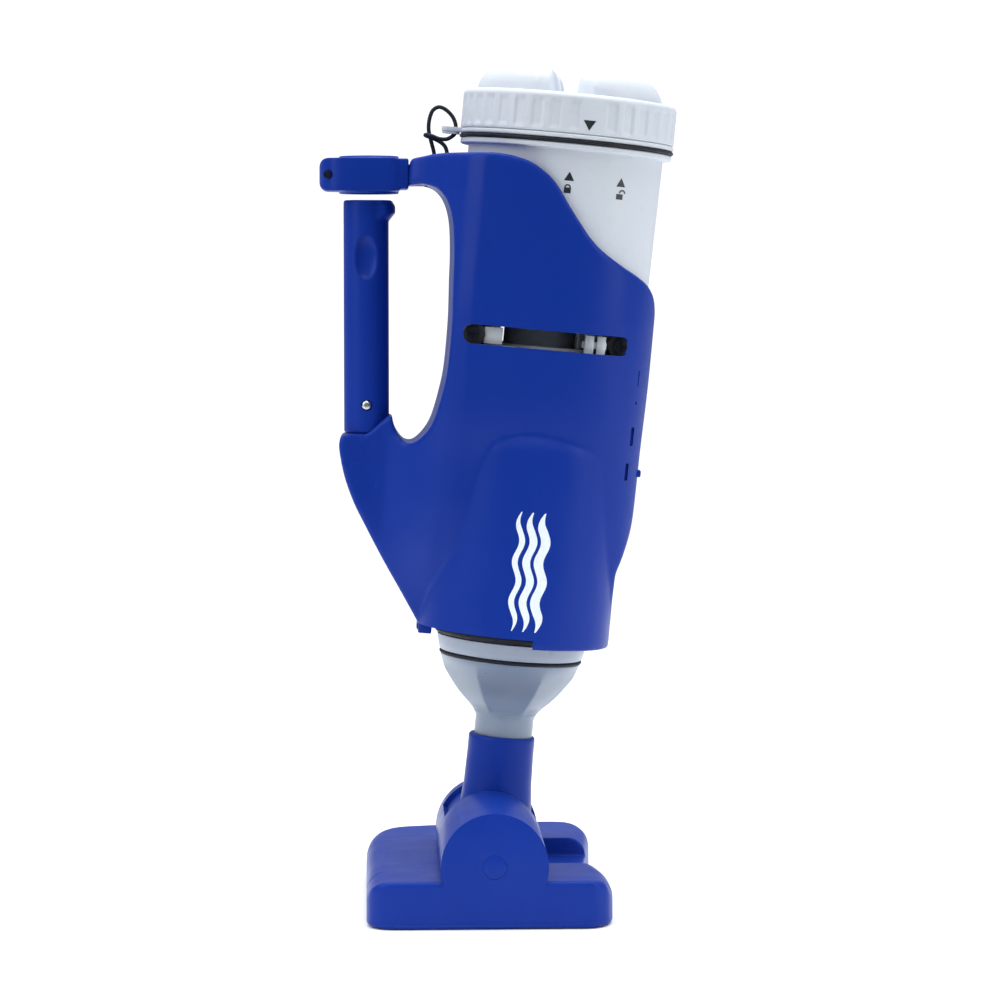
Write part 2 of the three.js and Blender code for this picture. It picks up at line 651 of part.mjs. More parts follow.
function headShell() {
  const drum = postY(DRUM_R, HEAD_NEAR, DRUM_FAR, 0, AXLE_HEIGHT, ROUND);
  const saddle = slabY(roundedRect(14, 120, SADDLE_HEIGHT, 80, 8, 5), SADDLE_NEAR, SADDLE_FAR);
  const outer = join(
    cut(headBlock(), saddle),
    drum.intersect(block(-40, 40, HEAD_NEAR, DRUM_FAR, SOLE_THICK + GAP, 70)),
  );

  const cavity = slabZ(inset(headPlan(), WALL), 0, SADDLE_HEIGHT - WALL);
  const upperLeft = block(HEAD_LEFT + 14, -DRUM_BORE_R + 2, HEAD_NEAR + 14, HEAD_FAR - 24,
    5, HEAD_TOP - WALL);
  const upperRight = join(
    block(DRUM_BORE_R - 2, HEAD_RIGHT - 14, HEAD_NEAR + 14, SADDLE_NEAR - 8, 5, HEAD_TOP - WALL),
    block(-8, HEAD_RIGHT - 18, SADDLE_FAR + WALL + 2, HEAD_FAR - 16, 5, HEAD_TOP - WALL),
  );
  const bore = join(
    postY(DRUM_BORE_R, HEAD_NEAR + 3, -BARREL_HALF - 3, 0, AXLE_HEIGHT, ROUND),
    postY(DRUM_BORE_R, -BARREL_HALF - GAP, BARREL_HALF + GAP, 0, AXLE_HEIGHT, ROUND),
    postY(DRUM_BORE_R, BARREL_HALF + 3, DRUM_FAR - WALL, 0, AXLE_HEIGHT, ROUND),
    postY(7.9, -BARREL_HALF - 6, BARREL_HALF + 6, 0, AXLE_HEIGHT, 20),
    postY(AXLE_PLUG_R + GAP, HEAD_NEAR - 2, HEAD_NEAR + 1.6, 0, AXLE_HEIGHT, 20),
    postY(2.4, HEAD_NEAR - 2, HEAD_NEAR + 6, 0, AXLE_HEIGHT, 12),
  );
  const hollow = cavity.subtract(join(
    block(-DRUM_R, DRUM_R, -BARREL_HALF - 3, -BARREL_HALF - GAP, 0, 40),
    block(-DRUM_R, DRUM_R, BARREL_HALF + GAP, BARREL_HALF + 3, 0, 40),
  ));
  return cut(outer, hollow, upperLeft, upperRight, bore, neckWindow());
}

// Wedge of the drum wall that the neck swings through.
const WINDOW_LEFT = -60;
const WINDOW_RIGHT = 130;

function neckWindow() {
  const outline = [new THREE.Vector2(0, AXLE_HEIGHT)];
  const steps = 12;
  const reach = DRUM_R + 0.8;
  for (let i = 0; i <= steps; i += 1) {
    const angle = THREE.MathUtils.degToRad(WINDOW_LEFT + (WINDOW_RIGHT - WINDOW_LEFT) * i / steps);
    outline.push(new THREE.Vector2(reach * Math.sin(angle), AXLE_HEIGHT + reach * Math.cos(angle)));
  }
  return slabY(outline.reverse(), -BARREL_HALF - GAP, BARREL_HALF + GAP);
}

// Round plug that closes the axle's bore in the near face.
function axlePlug() {
  const disc = postY(AXLE_PLUG_R, HEAD_NEAR, HEAD_NEAR + 1.3, 0, AXLE_HEIGHT, 20);
  return join(disc, postY(2.1, HEAD_NEAR, HEAD_NEAR + 6, 0, AXLE_HEIGHT, 12));
}

const SCREW_SPOTS = [[-56, -90], [50, -90], [-56, 80], [50, 94]];

function solePlate() {
  let plate = slabZ(inset(headPlan(), 0.4), 0, SOLE_THICK);
  const mouth = roundedRect(-16, 16, -70, 78, 12, 4);
  plate = cut(plate, slabZ(mouth, -2, SOLE_THICK + 2));
  for (const [x, y] of SCREW_SPOTS) {
    plate = cut(plate, postZ(3.3, -1, 1.8, x, y, 14), postZ(1.8, -1, 5, x, y, 10));
  }
  return plate;
}

piece('head_shell', headShell(), blue, head);
piece('axle_plug', axlePlug(), blue, head);
piece('sole_plate', solePlate(), blue, head);
SCREW_SPOTS.forEach(([x, y], i) => {
  const screw = join(postZ(3, 0.4, 1.5, x, y, 14), postZ(1.5, 1, SOLE_THICK + 0.2, x, y, 10));
  piece(`sole_screw_${i + 1}`, screw, steel, head);
});

// ---------------------------------------------------------------- cap, its seal and its tether
const PAD_R = 50;
const PAD_TURN = THREE.MathUtils.degToRad(-7);

function cap() {
  const skirt = turned([[60.6, CAP_FOOT], [CAP_R, CAP_FOOT], [CAP_R, CAP_DECK - 4],
    [CAP_R - 1.2, CAP_DECK - 1.2], [CAP_R - 4, CAP_DECK], [0, CAP_DECK], [0, CAP_DECK - 3],
    [60.6, CAP_DECK - 3], [60.6, CAP_FOOT]], POD_U);
  let top = skirt;
  for (let i = 0; i < 4; i += 1) {
    const sector = [];
    for (let k = 0; k <= 6; k += 1) {
      const angle = THREE.MathUtils.degToRad(14 + 62 * k / 6);
      sector.push(new THREE.Vector2(PAD_R * Math.cos(angle), PAD_R * Math.sin(angle)));
    }
    sector.push(new THREE.Vector2(11, 14), new THREE.Vector2(14, 11));
    const pad = new THREE.ExtrudeGeometry(new THREE.Shape(sector), {
      depth: CAP_TOP - CAP_DECK - 7, bevelThickness: 8, bevelSize: 8, bevelOffset: -3,
      bevelSegments: 2, curveSegments: 4,
    });
    pad.rotateZ(Math.PI * i / 2 + PAD_TURN).translate(POD_U, 0, CAP_DECK - 1);
    top = top.add(solid(pad));
  }
  return top.subtract(postZ(60, 400, CAP_DECK - 3, POD_U, 0, ROUND));
}

// Loose ring under the cap's skirt: the cap turns in it, and its eye holds the cord.
function tetherRing() {
  const low = CAP_FOOT - GAP - 2.6;
  const high = CAP_FOOT - GAP;
  const ring = turned(ringProfile(59, CAP_R + 0.2, low, high), POD_U);
  const tab = slabZ(roundedRect(-66, -50, -10, -2, 3.4, 4), low, high);
  const eye = postZ(1.6, 400, 430, TETHER_EYE_U, TETHER_Y, 12);
  return cut(join(ring, tab), eye, postZ(59, 400, high + 1, POD_U, 0, ROUND));
}

const TETHER_R = 1.2;
const TETHER_Y = -6;
const TETHER_EYE_U = -61;
const TETHER_ROUTE = [[-68.9, -6, 403], [-69.1, -6, 408.4], [-71, -6.2, 413], [-73, -6.6, 418.6],
  [-74, -6.8, 424.6], [-73, -6.6, 430], [-69.9, -6.2, 433.4], [-66, -6, 432.9], [-62.8, -6, 430],
  [-61.2, -6, 425.6], [-61, -6, 421], [-61.1, -6, 417.2], [-61.6, -7.4, 413.2],
  [-61.4, -6.6, 409.6], [-61.2, -6, 403]];

function tether() {
  const curve = new THREE.CatmullRomCurve3(TETHER_ROUTE.map((p) => new THREE.Vector3(...p)));
  const section = new THREE.Shape();
  section.absarc(0, 0, TETHER_R, 0, 2 * Math.PI);
  return new THREE.ExtrudeGeometry(section, { steps: 38, curveSegments: 4, extrudePath: curve });
}

piece('cap', cap(), grey);
piece('tether_ring', tetherRing(), grey);
piece('cap_o_ring', turned(ringProfile(58.2, CAP_R + 0.3, SEAL_HEIGHT - 1.1, SEAL_HEIGHT + 1.1),
  POD_U), black);
piece('cap_tether', tether(), black);

// The origin is the middle of the model's box, at the sole.
const middle = new THREE.Box3().setFromObject(model, true).getCenter(new THREE.Vector3());
model.position.x -= middle.x;
model.position.y -= middle.y;

export default model;
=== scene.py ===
"""A hand-held pool vacuum that stands on its vacuum head.

Shapes are drawn in millimetres, in the frame of the leaning body, the grip or the vacuum head,
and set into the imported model's frame in metres.
"""

import json
import math

import bmesh
import bpy
from mathutils import Matrix, Vector
from mathutils.bvhtree import BVHTree


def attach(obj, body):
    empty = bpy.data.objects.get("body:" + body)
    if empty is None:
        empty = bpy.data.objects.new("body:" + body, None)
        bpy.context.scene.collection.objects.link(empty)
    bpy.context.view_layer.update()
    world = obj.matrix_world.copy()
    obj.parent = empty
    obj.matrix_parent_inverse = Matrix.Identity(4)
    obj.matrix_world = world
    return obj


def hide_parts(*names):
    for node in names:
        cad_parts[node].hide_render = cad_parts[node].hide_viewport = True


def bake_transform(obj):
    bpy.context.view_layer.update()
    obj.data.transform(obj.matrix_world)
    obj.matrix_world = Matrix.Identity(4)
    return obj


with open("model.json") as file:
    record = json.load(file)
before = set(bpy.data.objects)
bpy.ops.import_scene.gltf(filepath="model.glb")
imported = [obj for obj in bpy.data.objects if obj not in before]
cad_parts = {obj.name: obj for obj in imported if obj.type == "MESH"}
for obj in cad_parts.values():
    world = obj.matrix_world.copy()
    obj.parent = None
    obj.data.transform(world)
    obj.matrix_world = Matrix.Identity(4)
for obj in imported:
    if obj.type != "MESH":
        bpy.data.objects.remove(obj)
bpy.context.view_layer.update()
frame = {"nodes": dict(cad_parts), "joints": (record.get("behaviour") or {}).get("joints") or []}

# ---------------- driving dimensions, mm
MM = 0.001
AXLE_HEIGHT = 35.9
BODY_LEAN = math.radians(5.2)
WALL = 2.6
GAP = 0.3

AXIS_U = 3.4                     # neck, nose, filter and pump
POD_U = 8.9                      # battery pod and cap
SHELL_R = 62
FILTER_R = 58
POD_R = 58
CAP_R = 63.6
NECK_R = 20
NECK_TOP = 62.5
CONE_FOOT = 74
CONE_RIM = 108.8
COLLAR_R = 43
COLLAR_FOOT = 111.4
COLLAR_TOP = 121
SKIRT_FOOT = 120.5
SKIRT_NOTCH = 126
HUMP_TOP = 246
SLOT_LEFT = -38.3
SLOT_RIGHT = 48.8
SLOT_HEIGHT = 301.7
SLOT_R = 5.6
POD_FLOOR = 316
POD_FLANGE = 413
SEAL_HEIGHT = 417.6
CAP_FOOT = 422
CAP_DECK = 445

SOCKET = Vector((-94.4, 0, 236))
GRIP_R = 13.45
GRIP_LENGTH = 138.6
RING_SHIFT = 1.8
RING_FOOT = 142.2
RING_TOP = 164.7
RING_BORE_R = 16.1
RING_HALF_DEPTH = 19.5
BUTTON_HEIGHT = 17
BUTTON_R = 3

HEAD_LEFT = -73.5
HEAD_RIGHT = 69
HEAD_NEAR = -108
HEAD_FAR = 112
HEAD_TOP = 27.5
SOLE_THICK = 3.4
SADDLE_HEIGHT = 15.4
SADDLE_NEAR = -46
SADDLE_FAR = 42
DRUM_R = 30.9
DRUM_BORE_R = 28.4
DRUM_FAR = 36
WINDOW_LEFT = -60                # degrees from upright
WINDOW_RIGHT = 132
BARREL_R = 28
BARREL_HALF = 22.5
AXLE_PLUG_R = 7

SLOT_ENDS = ((SLOT_LEFT, 57), (SLOT_RIGHT, 43))      # and how far out each screw is seated
BOSS_R = 7.2
POCKET_LENGTH = 13               # from a screw to where the slot goes right through
INNER_SHARE = 0.975              # of the housing's depth, where a piece ends inside its wall
EDGE_SLITS = ((63, 278.4, 288.4, -29.2), (61.9, 243.4, 254.6, -26), (60.6, 222.5, 233, -25),
              (62.7, 268, 270, -28.5))               # u, low, high and how deep

TETHER_R = 1.2
TETHER_ROUTE = [
    (-68.9, -6, 403), (-69.6, -6, 406.5), (-71.7, -6, 412.3), (-73.5, -6, 418),
    (-73.9, -6.2, 422.4), (-73.4, -6.4, 427), (-72, -6.6, 430.6), (-68.8, -6.6, 432.6),
    (-64.7, -6.4, 431.5), (-60.4, -6.2, 427.9), (-58.1, -6, 423.6), (-57.8, -6, 420),
    (-58.4, -6.6, 417.2), (-62.3, -8.2, 414.2), (-67.1, -8.8, 413.9), (-71.5, -8.8, 415.2),
    (-74.4, -8, 415.7), (-75.4, -6, 415.4), (-74.4, -3.9, 415), (-71.5, -3.1, 414.3),
    (-67.5, -3.3, 412.9), (-64, -4.4, 410.8), (-62, -5.6, 407.6), (-61.2, -6, 403),
]
TAB_EYE_U = -57.8

INK_LIFT = 0.08
INK_THICK = 0.06
WAVES = 3
WAVE_SWING = 1.6
WAVE_FOOT = 131
WAVE_TOP = 201

# ---------------- the three drawing frames
AXLE = Vector(next(j["pos_m"] for j in frame["joints"] if j["name"] == "head_tilt"))
TO_METRES = Matrix.Scale(MM, 4)
BODY = Matrix.Translation(AXLE) @ Matrix.Rotation(BODY_LEAN, 4, "Y") @ TO_METRES
HANDLE = BODY @ Matrix.Translation(SOCKET) @ Matrix.Rotation(-BODY_LEAN, 4, "Y")
HEAD = Matrix.Translation((AXLE.x, AXLE.y, 0)) @ TO_METRES
HANDLE_IN_BODY = BODY.inverted() @ HANDLE

scene = bpy.context.scene


# ---------------- camera
def make_camera():
    data = bpy.data.cameras.new("camera")
    data.sensor_width = 36
    data.lens = 120.45
    camera = bpy.data.objects.new("camera", data)
    camera.location = (AXLE.x - 0.0733, AXLE.y - 2.0, 0.3777)
    camera.rotation_euler = (math.radians(90 - 3.963), 0, math.radians(-2.304))
    scene.collection.objects.link(camera)
    scene.camera = camera


# ---------------- outlines
def spline(points, steps=6):
    """Points on a uniform Catmull-Rom curve through the given ones."""
    points = [Vector(p) for p in points]
    curve = []
    for i in range(len(points) - 1):
        before = points[max(i - 1, 0)]
        start, end = points[i], points[i + 1]
        after = points[min(i + 2, len(points) - 1)]
        for k in range(steps):
            t = k / steps
            slope_in = (end - before) / 2
            slope_out = (after - start) / 2
            curve.append(
                (2 * t**3 - 3 * t**2 + 1) * start + (t**3 - 2 * t**2 + t) * slope_in
                + (3 * t**2 - 2 * t**3) * end + (t**3 - t**2) * slope_out
            )
    curve.append(points[-1])
    return curve


def arc(cx, cy, radius, start, end, steps):
    turns = [math.radians(start + (end - start) * k / steps) for k in range(steps + 1)]
    return [Vector((cx + radius * math.cos(a), cy + radius * math.sin(a))) for a in turns]


def rounded_rect(x0, x1, y0, y1, radius, steps=8):
    return (
        arc(x1 - radius, y0 + radius, radius, -90, 0, steps)
        + arc(x1 - radius, y1 - radius, radius, 0, 90, steps)
        + arc(x0 + radius, y1 - radius, radius, 90, 180, steps)
        + arc(x0 + radius, y0 + radius, radius, 180, 270, steps)
    )


def stadium(left, right, middle, radius):
    return rounded_rect(left - radius, right + radius, middle - radius, middle + radius,
                        radius * 0.999)


def without_repeats(outline):
    return [p for i, p in enumerate(outline) if (p - outline[i - 1]).length > 0.02]


def housing_outline():
    return without_repeats(
        [Vector((-83, 384)), Vector((-83, 400.5))]
        + spline([(-83, 400.5), (-77, 402), (-66, 404.8), (-45, 406.5), (-30, 407), (-15.5, 404.4),
                  (-6, 399.4), (2, 392.6), (10, 381.6), (17.5, 371.7), (25.5, 362.2),
                  (33.6, 355.4), (46.5, 347.8), (56, 343), (63, 338.4), (68.3, 331), (71, 320)])
        + [Vector((71, 291)), Vector((68.8, 240))]
        + spline([(68.8, 240), (68.2, 200), (65, 181), (60.5, 166)])
        + [Vector((60.5, SKIRT_FOOT + 8)), Vector((50, SKIRT_FOOT + 5.5)),
           Vector((-54, SKIRT_FOOT + 5.5))]
        + spline([(-54, SKIRT_FOOT + 5.5), (-64.8, 142.3), (-78.7, 162.7), (-90, 180.5),
                  (-98, 193.5), (-104.8, 208), (-109, 221.5), (-110.3, 229.7), (-108.4, 234.9)])
        + [Vector((-94, 236.2))]
        + [Vector((-80.6, 250.2))]
        + spline([(-80.6, 250.2), (-79, 243), (-76.5, 238.6), (-72.5, 234)])
        + spline([(-72.5, 234), (-66.5, 233.8), (-60, 240.6), (-55.9, 249.5), (-52.4, 267),
                  (-51, 281), (-51, 308), (-52.4, 331), (-53.3, 347), (-55.6, 365.4),
                  (-59.8, 377.3), (-66.6, 384.2), (-76, 386)])
    )


def plan_outline():
    """From above: a half round about the pod on the right, narrowing to the arm on the left."""
    half = spline([(-112, RING_HALF_DEPTH), (-86, RING_HALF_DEPTH), (-76, 24), (-66, 34),
                   (-58, 45), (-50, 55), (-40, 61)], 4)
    half.append(Vector((-32, SHELL_R)))
    half += arc(POD_U, 0, SHELL_R, 90, 0, 30)
    return half + [Vector((p.x, -p.y)) for p in reversed(half[:-1])]


DEPTHS = spline([(11, 110), (11, 118), (21, 140), (38.6, 168), (45.6, 194), (48.4, 217), (50.4, 231),
                 (53.8, 246), (56.4, 260), (59, 282), (61, 306), (SHELL_R, 330), (SHELL_R, 430)])
DOME_TOP = 251
DOME_R = 17


def depth_share(height):
    """How much of its full depth the housing keeps at a height: it is drawn in low down."""
    for low, high in zip(DEPTHS, DEPTHS[1:]):
        if height <= high.y:
            part = max(0, (height - low.y) / max(high.y - low.y, 1e-6))
            return (low.x + (high.x - low.x) * part) / SHELL_R
    return 1


def head_plan():
    """From above: a square near end, a waist beside the axle, rounded off at the far left."""
    return without_repeats(
        spline([(HEAD_LEFT, -92), (-72.2, -98.5), (-69, -103.4), (-63.8, -106.8),
                (-57.5, HEAD_NEAR)], 5)
        + spline([(51, HEAD_NEAR), (57, -107.3), (62, -104), (66.5, -98), (HEAD_RIGHT, -86),
                  (67.8, -64), (64, -40), (60.5, -15), (59, 8), (60.3, 32), (63.5, 55), (66, 78),
                  (65.2, 94), (60.5, 105), (51, 111), (35, HEAD_FAR), (10, 109), (-20, 104),
                  (-45, 99), (-58, 94), (-67, 84), (-71.5, 70), (-73.2, 50), (HEAD_LEFT, 30)])
    )


# ---------------- mesh building
def add_object(name, mesh):
    obj = bpy.data.objects.new(name, mesh)
    scene.collection.objects.link(obj)
    return obj


def solid(name, verts, faces):
    """A closed mesh object from vertices and faces, merged where they meet, facing out."""
    mesh = bpy.data.meshes.new(name)
    mesh.from_pydata([tuple(v) for v in verts], [], faces)
    bm = bmesh.new()
    bm.from_mesh(mesh)
    bmesh.ops.remove_doubles(bm, verts=bm.verts, dist=1e-4)
    bmesh.ops.dissolve_degenerate(bm, dist=1e-5, edges=bm.edges)
    bmesh.ops.triangulate(bm, faces=[f for f in bm.faces if len(f.verts) > 4])
    bmesh.ops.recalc_face_normals(bm, faces=bm.faces)
    bm.to_mesh(mesh)
    bm.free()
    return add_object(name, mesh)


def stacked(name, rings, closed=False):
    """A skin over rings of equal length, capped at both ends unless the stack closes on itself."""
    count = len(rings[0])
    verts = [p for ring in rings for p in ring]
    faces = []
    for r in range(len(rings) - (0 if closed else 1)):
        low = r * count
        high = (r + 1) % len(rings) * count
        for i in range(count):
            j = (i + 1) % count
            faces.append((low + i, low + j, high + j, high + i))
    if not closed:
        faces.append(tuple(range(count)))
        faces.append(tuple((len(rings) - 1) * count + i for i in range(count)))
    return solid(name, verts, faces)


def slab_z(outline, low, high, name="slab"):
    return stacked(name, [[(p.x, p.y, h) for p in outline] for h in (low, high)])


def slab_y(outline, near, far, name="slab"):
    return stacked(name, [[(p.x, h, p.y) for p in outline] for h in (near, far)])


def block(x0, x1, y0, y1, z0, z1):
    return slab_z([Vector((x0, y0)), Vector((x1, y0)), Vector((x1, y1)), Vector((x0, y1))], z0, z1)


def lathe(name, profile, x=0.0, y=0.0, sides=128, radius_of=None):
    """A closed profile of (radius, height) turned about an upright axis.

    radius_of(radius, height, angle) may change the radius, for ribs and facets.
    """
    rings = []
    for k in range(sides):
        angle = 2 * math.pi * k / sides
        ring = []
        for r, h in profile:
            if radius_of and r > 0:
                r = radius_of(r, h, angle)
            ring.append((x + r * math.cos(angle), y + r * math.sin(angle), h))
        rings.append(ring)
    return stacked(name, rings, closed=True)


def rod_z(radius, low, high, x=0.0, y=0.0, sides=64):
    return slab_z(arc(x, y, radius, 0, 360 - 360 / sides, sides - 1), low, high)


def rod_y(radius, near, far, x=0.0, z=0.0, sides=64):
    return slab_y(arc(x, z, radius, 0, 360 - 360 / sides, sides - 1), near, far)


def applied(obj):
    """Turns an object's modifiers into its mesh."""
    graph = bpy.context.evaluated_depsgraph_get()
    mesh = bpy.data.meshes.new_from_object(obj.evaluated_get(graph), depsgraph=graph)
    old = obj.data
    obj.modifiers.clear()
    obj.data = mesh
    bpy.data.meshes.remove(old)
    return obj


def boolean(body, tools, operation):
    """Works each tool into the body in turn and uses it up."""
    for tool in tools:
        modifier = body.modifiers.new("boolean", "BOOLEAN")
        modifier.solver = "MANIFOLD"
        modifier.operation = operation
        modifier.object = tool
        applied(body)
        bpy.data.objects.remove(tool)
    return body


def cut(body, *tools):
    return boolean(body, tools, "DIFFERENCE")


def join(body, *parts):
    return boolean(body, parts, "UNION")


def meet(body, *parts):
    return boolean(body, parts, "INTERSECT")


def copy_of(obj, name):
    return add_object(name, obj.data.copy())


def without_slivers(obj, reach=0.02):
    """Closes up the needle-thin faces that a join leaves on curved walls."""
    bm = bmesh.new()
    bm.from_mesh(obj.data)
    bmesh.ops.remove_doubles(bm, verts=bm.verts, dist=reach)
    bmesh.ops.dissolve_degenerate(bm, edges=bm.edges, dist=reach)
    bm.to_mesh(obj.data)
    bm.free()


def add_remesh(obj, voxel):
    remesh = obj.modifiers.new("remesh", "REMESH")
    remesh.mode = "VOXEL"
    remesh.voxel_size = voxel


def softened(obj, voxel, rounds):
    """Rounds every edge over: an even grid of faces, then smoothing."""
    add_remesh(obj, voxel)
    if rounds:
        smooth = obj.modifiers.new("smooth", "SMOOTH")
        smooth.factor = 0.5
        smooth.iterations = rounds
    return applied(obj)


def add_bevel(obj, width, segments, angle):
    bevel = obj.modifiers.new("bevel", "BEVEL")
    bevel.width = width
    bevel.segments = segments
    bevel.limit_method = "ANGLE"
    bevel.angle_limit = math.radians(angle)


def bevelled(obj, width, segments=3):
    add_bevel(obj, width, segments, 35)
    return applied(obj)


def moved(obj, matrix):
    obj.data.transform(matrix)
    return obj


def finished(obj, matrix, body, material, replaced=(), sharp=40):
    """Sets a piece into the model's frame, shades it and hands it to its body."""
    obj.data.transform(matrix)
    if len(obj.data.materials) < 2:
        obj.data.materials.clear()
        obj.data.materials.append(material)
    obj.data.shade_smooth()
    obj.data.set_sharp_from_angle(angle=math.radians(sharp))
    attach(obj, body)
    if replaced:
        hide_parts(*replaced)
    return obj


# ---------------- materials
class Shader:
    """A Principled material with a few helpers for its node graph."""

    def __init__(self, name, color, roughness, metallic=0.0):
        self.material = bpy.data.materials.new(name)
        self.material.use_nodes = True
        self.tree = self.material.node_tree
        self.surface = self.tree.nodes["Principled BSDF"]
        self.place = self.node("ShaderNodeTexCoord").outputs["Object"]
        self.color = color
        self.set("Base Color", (*color, 1))
        self.set("Roughness", roughness)
        self.set("Metallic", metallic)
        self.height = None

    def node(self, kind, **values):
        made = self.tree.nodes.new(kind)
        for key, value in values.items():
            setattr(made, key, value)
        return made

    def link(self, source, target):
        self.tree.links.new(source, target)

    def set(self, socket, value):
        self.surface.inputs[socket].default_value = value

    def noise(self, scale, detail=3.0, rough=0.5, stretch=None):
        texture = self.node("ShaderNodeTexNoise")
        texture.inputs["Scale"].default_value = scale
        texture.inputs["Detail"].default_value = detail
        texture.inputs["Roughness"].default_value = rough
        place = self.place
        if stretch:
            mapping = self.node("ShaderNodeMapping")
            mapping.inputs["Scale"].default_value = stretch
            self.link(place, mapping.inputs["Vector"])
            place = mapping.outputs["Vector"]
        self.link(place, texture.inputs["Vector"])
        return texture.outputs["Fac"]

    def ranged(self, value, low, high, start=0.3, end=0.7):
        shift = self.node("ShaderNodeMapRange")
        shift.inputs["From Min"].default_value = start
        shift.inputs["From Max"].default_value = end
        shift.inputs["To Min"].default_value = low
        shift.inputs["To Max"].default_value = high
        self.link(value, shift.inputs["Value"])
        return shift.outputs["Result"]

    def tint(self, value, other, low=0.0, high=1.0, start=0.3, end=0.7):
        """Mixes the base colour towards another by a texture's value."""
        mix = self.node("ShaderNodeMix", data_type="RGBA")
        self.link(self.ranged(value, low, high, start, end), mix.inputs[0])
        socket = self.surface.inputs["Base Color"]
        if socket.is_linked:
            self.link(socket.links[0].from_socket, mix.inputs[6])
        else:
            mix.inputs[6].default_value = (*self.color, 1)
        mix.inputs[7].default_value = (*other, 1)
        self.link(mix.outputs[2], socket)

    def roughen(self, value, low, high):
        self.link(self.ranged(value, low, high), self.surface.inputs["Roughness"])

    def bump(self, value, strength, distance):
        """Adds a relief, distance in metres."""
        bump = self.node("ShaderNodeBump")
        bump.inputs["Strength"].default_value = strength
        bump.inputs["Distance"].default_value = distance
        self.link(value, bump.inputs["Height"])
        if self.height:
            self.link(self.height, bump.inputs["Normal"])
        self.height = bump.outputs["Normal"]
        self.link(self.height, self.surface.inputs["Normal"])


def moulded(name, color, roughness, worn, shine=0.5):
    """Injection-moulded plastic: faint flow marks, fine spark grain, rubbed edges."""
    shader = Shader(name, color, roughness)
    flow = shader.noise(14, 4, 0.55, (1, 1, 0.35))
    shader.tint(flow, [c * 1.14 + 0.002 for c in color], 0, 0.5)
    specks = shader.noise(260, 2, 0.6)
    shader.tint(specks, [c * 0.86 for c in color], 0, 0.3, 0.55, 0.8)
    edge = shader.node("ShaderNodeNewGeometry").outputs["Pointiness"]
    shader.tint(edge, worn, 0, 0.4, 0.53, 0.62)
    patches = shader.noise(38, 5, 0.6)
    shader.roughen(patches, roughness * 0.85, roughness * 1.2)
    shader.bump(shader.noise(1500, 2, 0.6), 0.25, 0.00003)
    shader.bump(shader.noise(30, 2, 0.4), 0.2, 0.00012)
    shader.set("IOR", 1.47)
    shader.set("Specular IOR Level", shine)
    return shader.material


def rubber(name, color):
    shader = Shader(name, color, 0.62)
    dust = shader.noise(90, 5, 0.65)
    shader.tint(dust, [c * 2.2 + 0.004 for c in color], 0, 0.5)
    shader.roughen(shader.noise(240, 3), 0.42, 0.65)
    shader.bump(shader.noise(900, 3, 0.7), 0.35, 0.00005)
    shader.set("Specular IOR Level", 0.18)
    return shader.material


def machined(name, color, roughness):
    """Turned metal: fine lines round the part."""
    shader = Shader(name, color, roughness, 1.0)
    lines = shader.noise(420, 3, 0.6, (1, 1, 18))
    shader.tint(lines, [c * 0.72 for c in color], 0, 0.6)
    shader.roughen(shader.noise(160, 4), roughness * 0.7, roughness * 1.4)
    shader.bump(lines, 0.2, 0.00002)
    return shader.material


def clear_plastic(name):
    shader = Shader(name, (0.46, 0.54, 0.66), 0.16)
    shader.set("IOR", 1.44)
    shader.set("Transmission Weight", 0.65)
    shader.set("Specular IOR Level", 0.3)
    shader.tint(shader.noise(26, 4), (0.44, 0.53, 0.66), 0, 0.5)
    shader.roughen(shader.noise(60, 3, 0.5), 0.27, 0.36)
    shader.bump(shader.noise(60, 2, 0.4), 0.1, 0.00004)
    return shader.material


def woven(name, color):
    """Fine filter cloth: threads crossing at about half a millimetre."""
    shader = Shader(name, color, 0.85)
    threads = []
    for direction in ("X", "Z"):
        wave = shader.node("ShaderNodeTexWave", wave_type="BANDS", bands_direction=direction)
        wave.inputs["Scale"].default_value = 520
        wave.inputs["Distortion"].default_value = 0.4
        wave.inputs["Detail"].default_value = 1
        shader.link(shader.place, wave.inputs["Vector"])
        threads.append(wave.outputs["Fac"])
    both = shader.node("ShaderNodeMath", operation="MULTIPLY")
    shader.link(threads[0], both.inputs[0])
    shader.link(threads[1], both.inputs[1])
    shader.tint(both.outputs[0], [c * 0.45 for c in color], 0.8, 0, 0.05, 0.7)
    shader.tint(shader.noise(30, 4), (0.42, 0.44, 0.40), 0, 0.35)
    shader.bump(both.outputs[0], 0.7, 0.0002)
    shader.set("Sheen Weight", 0.25)
    return shader.material


def shrink_wrap_film(name, color):
    shader = Shader(name, color, 0.3)
    folds = shader.noise(120, 4, 0.6, (1, 1, 6))
    shader.tint(folds, [c * 0.6 for c in color], 0, 0.6)
    shader.bump(folds, 0.35, 0.00015)
    shader.roughen(folds, 0.22, 0.42)
    return shader.material


def ink(name, color, thin):
    """Pad-printed ink that lets a little of the plastic's grain through."""
    shader = Shader(name, color, 0.45)
    shader.tint(shader.noise(500, 3, 0.7), thin, 0, 0.35, 0.5, 0.8)
    shader.roughen(shader.noise(200, 3), 0.35, 0.55)
    shader.bump(shader.noise(1500, 2, 0.6), 0.2, 0.00003)
    return shader.material


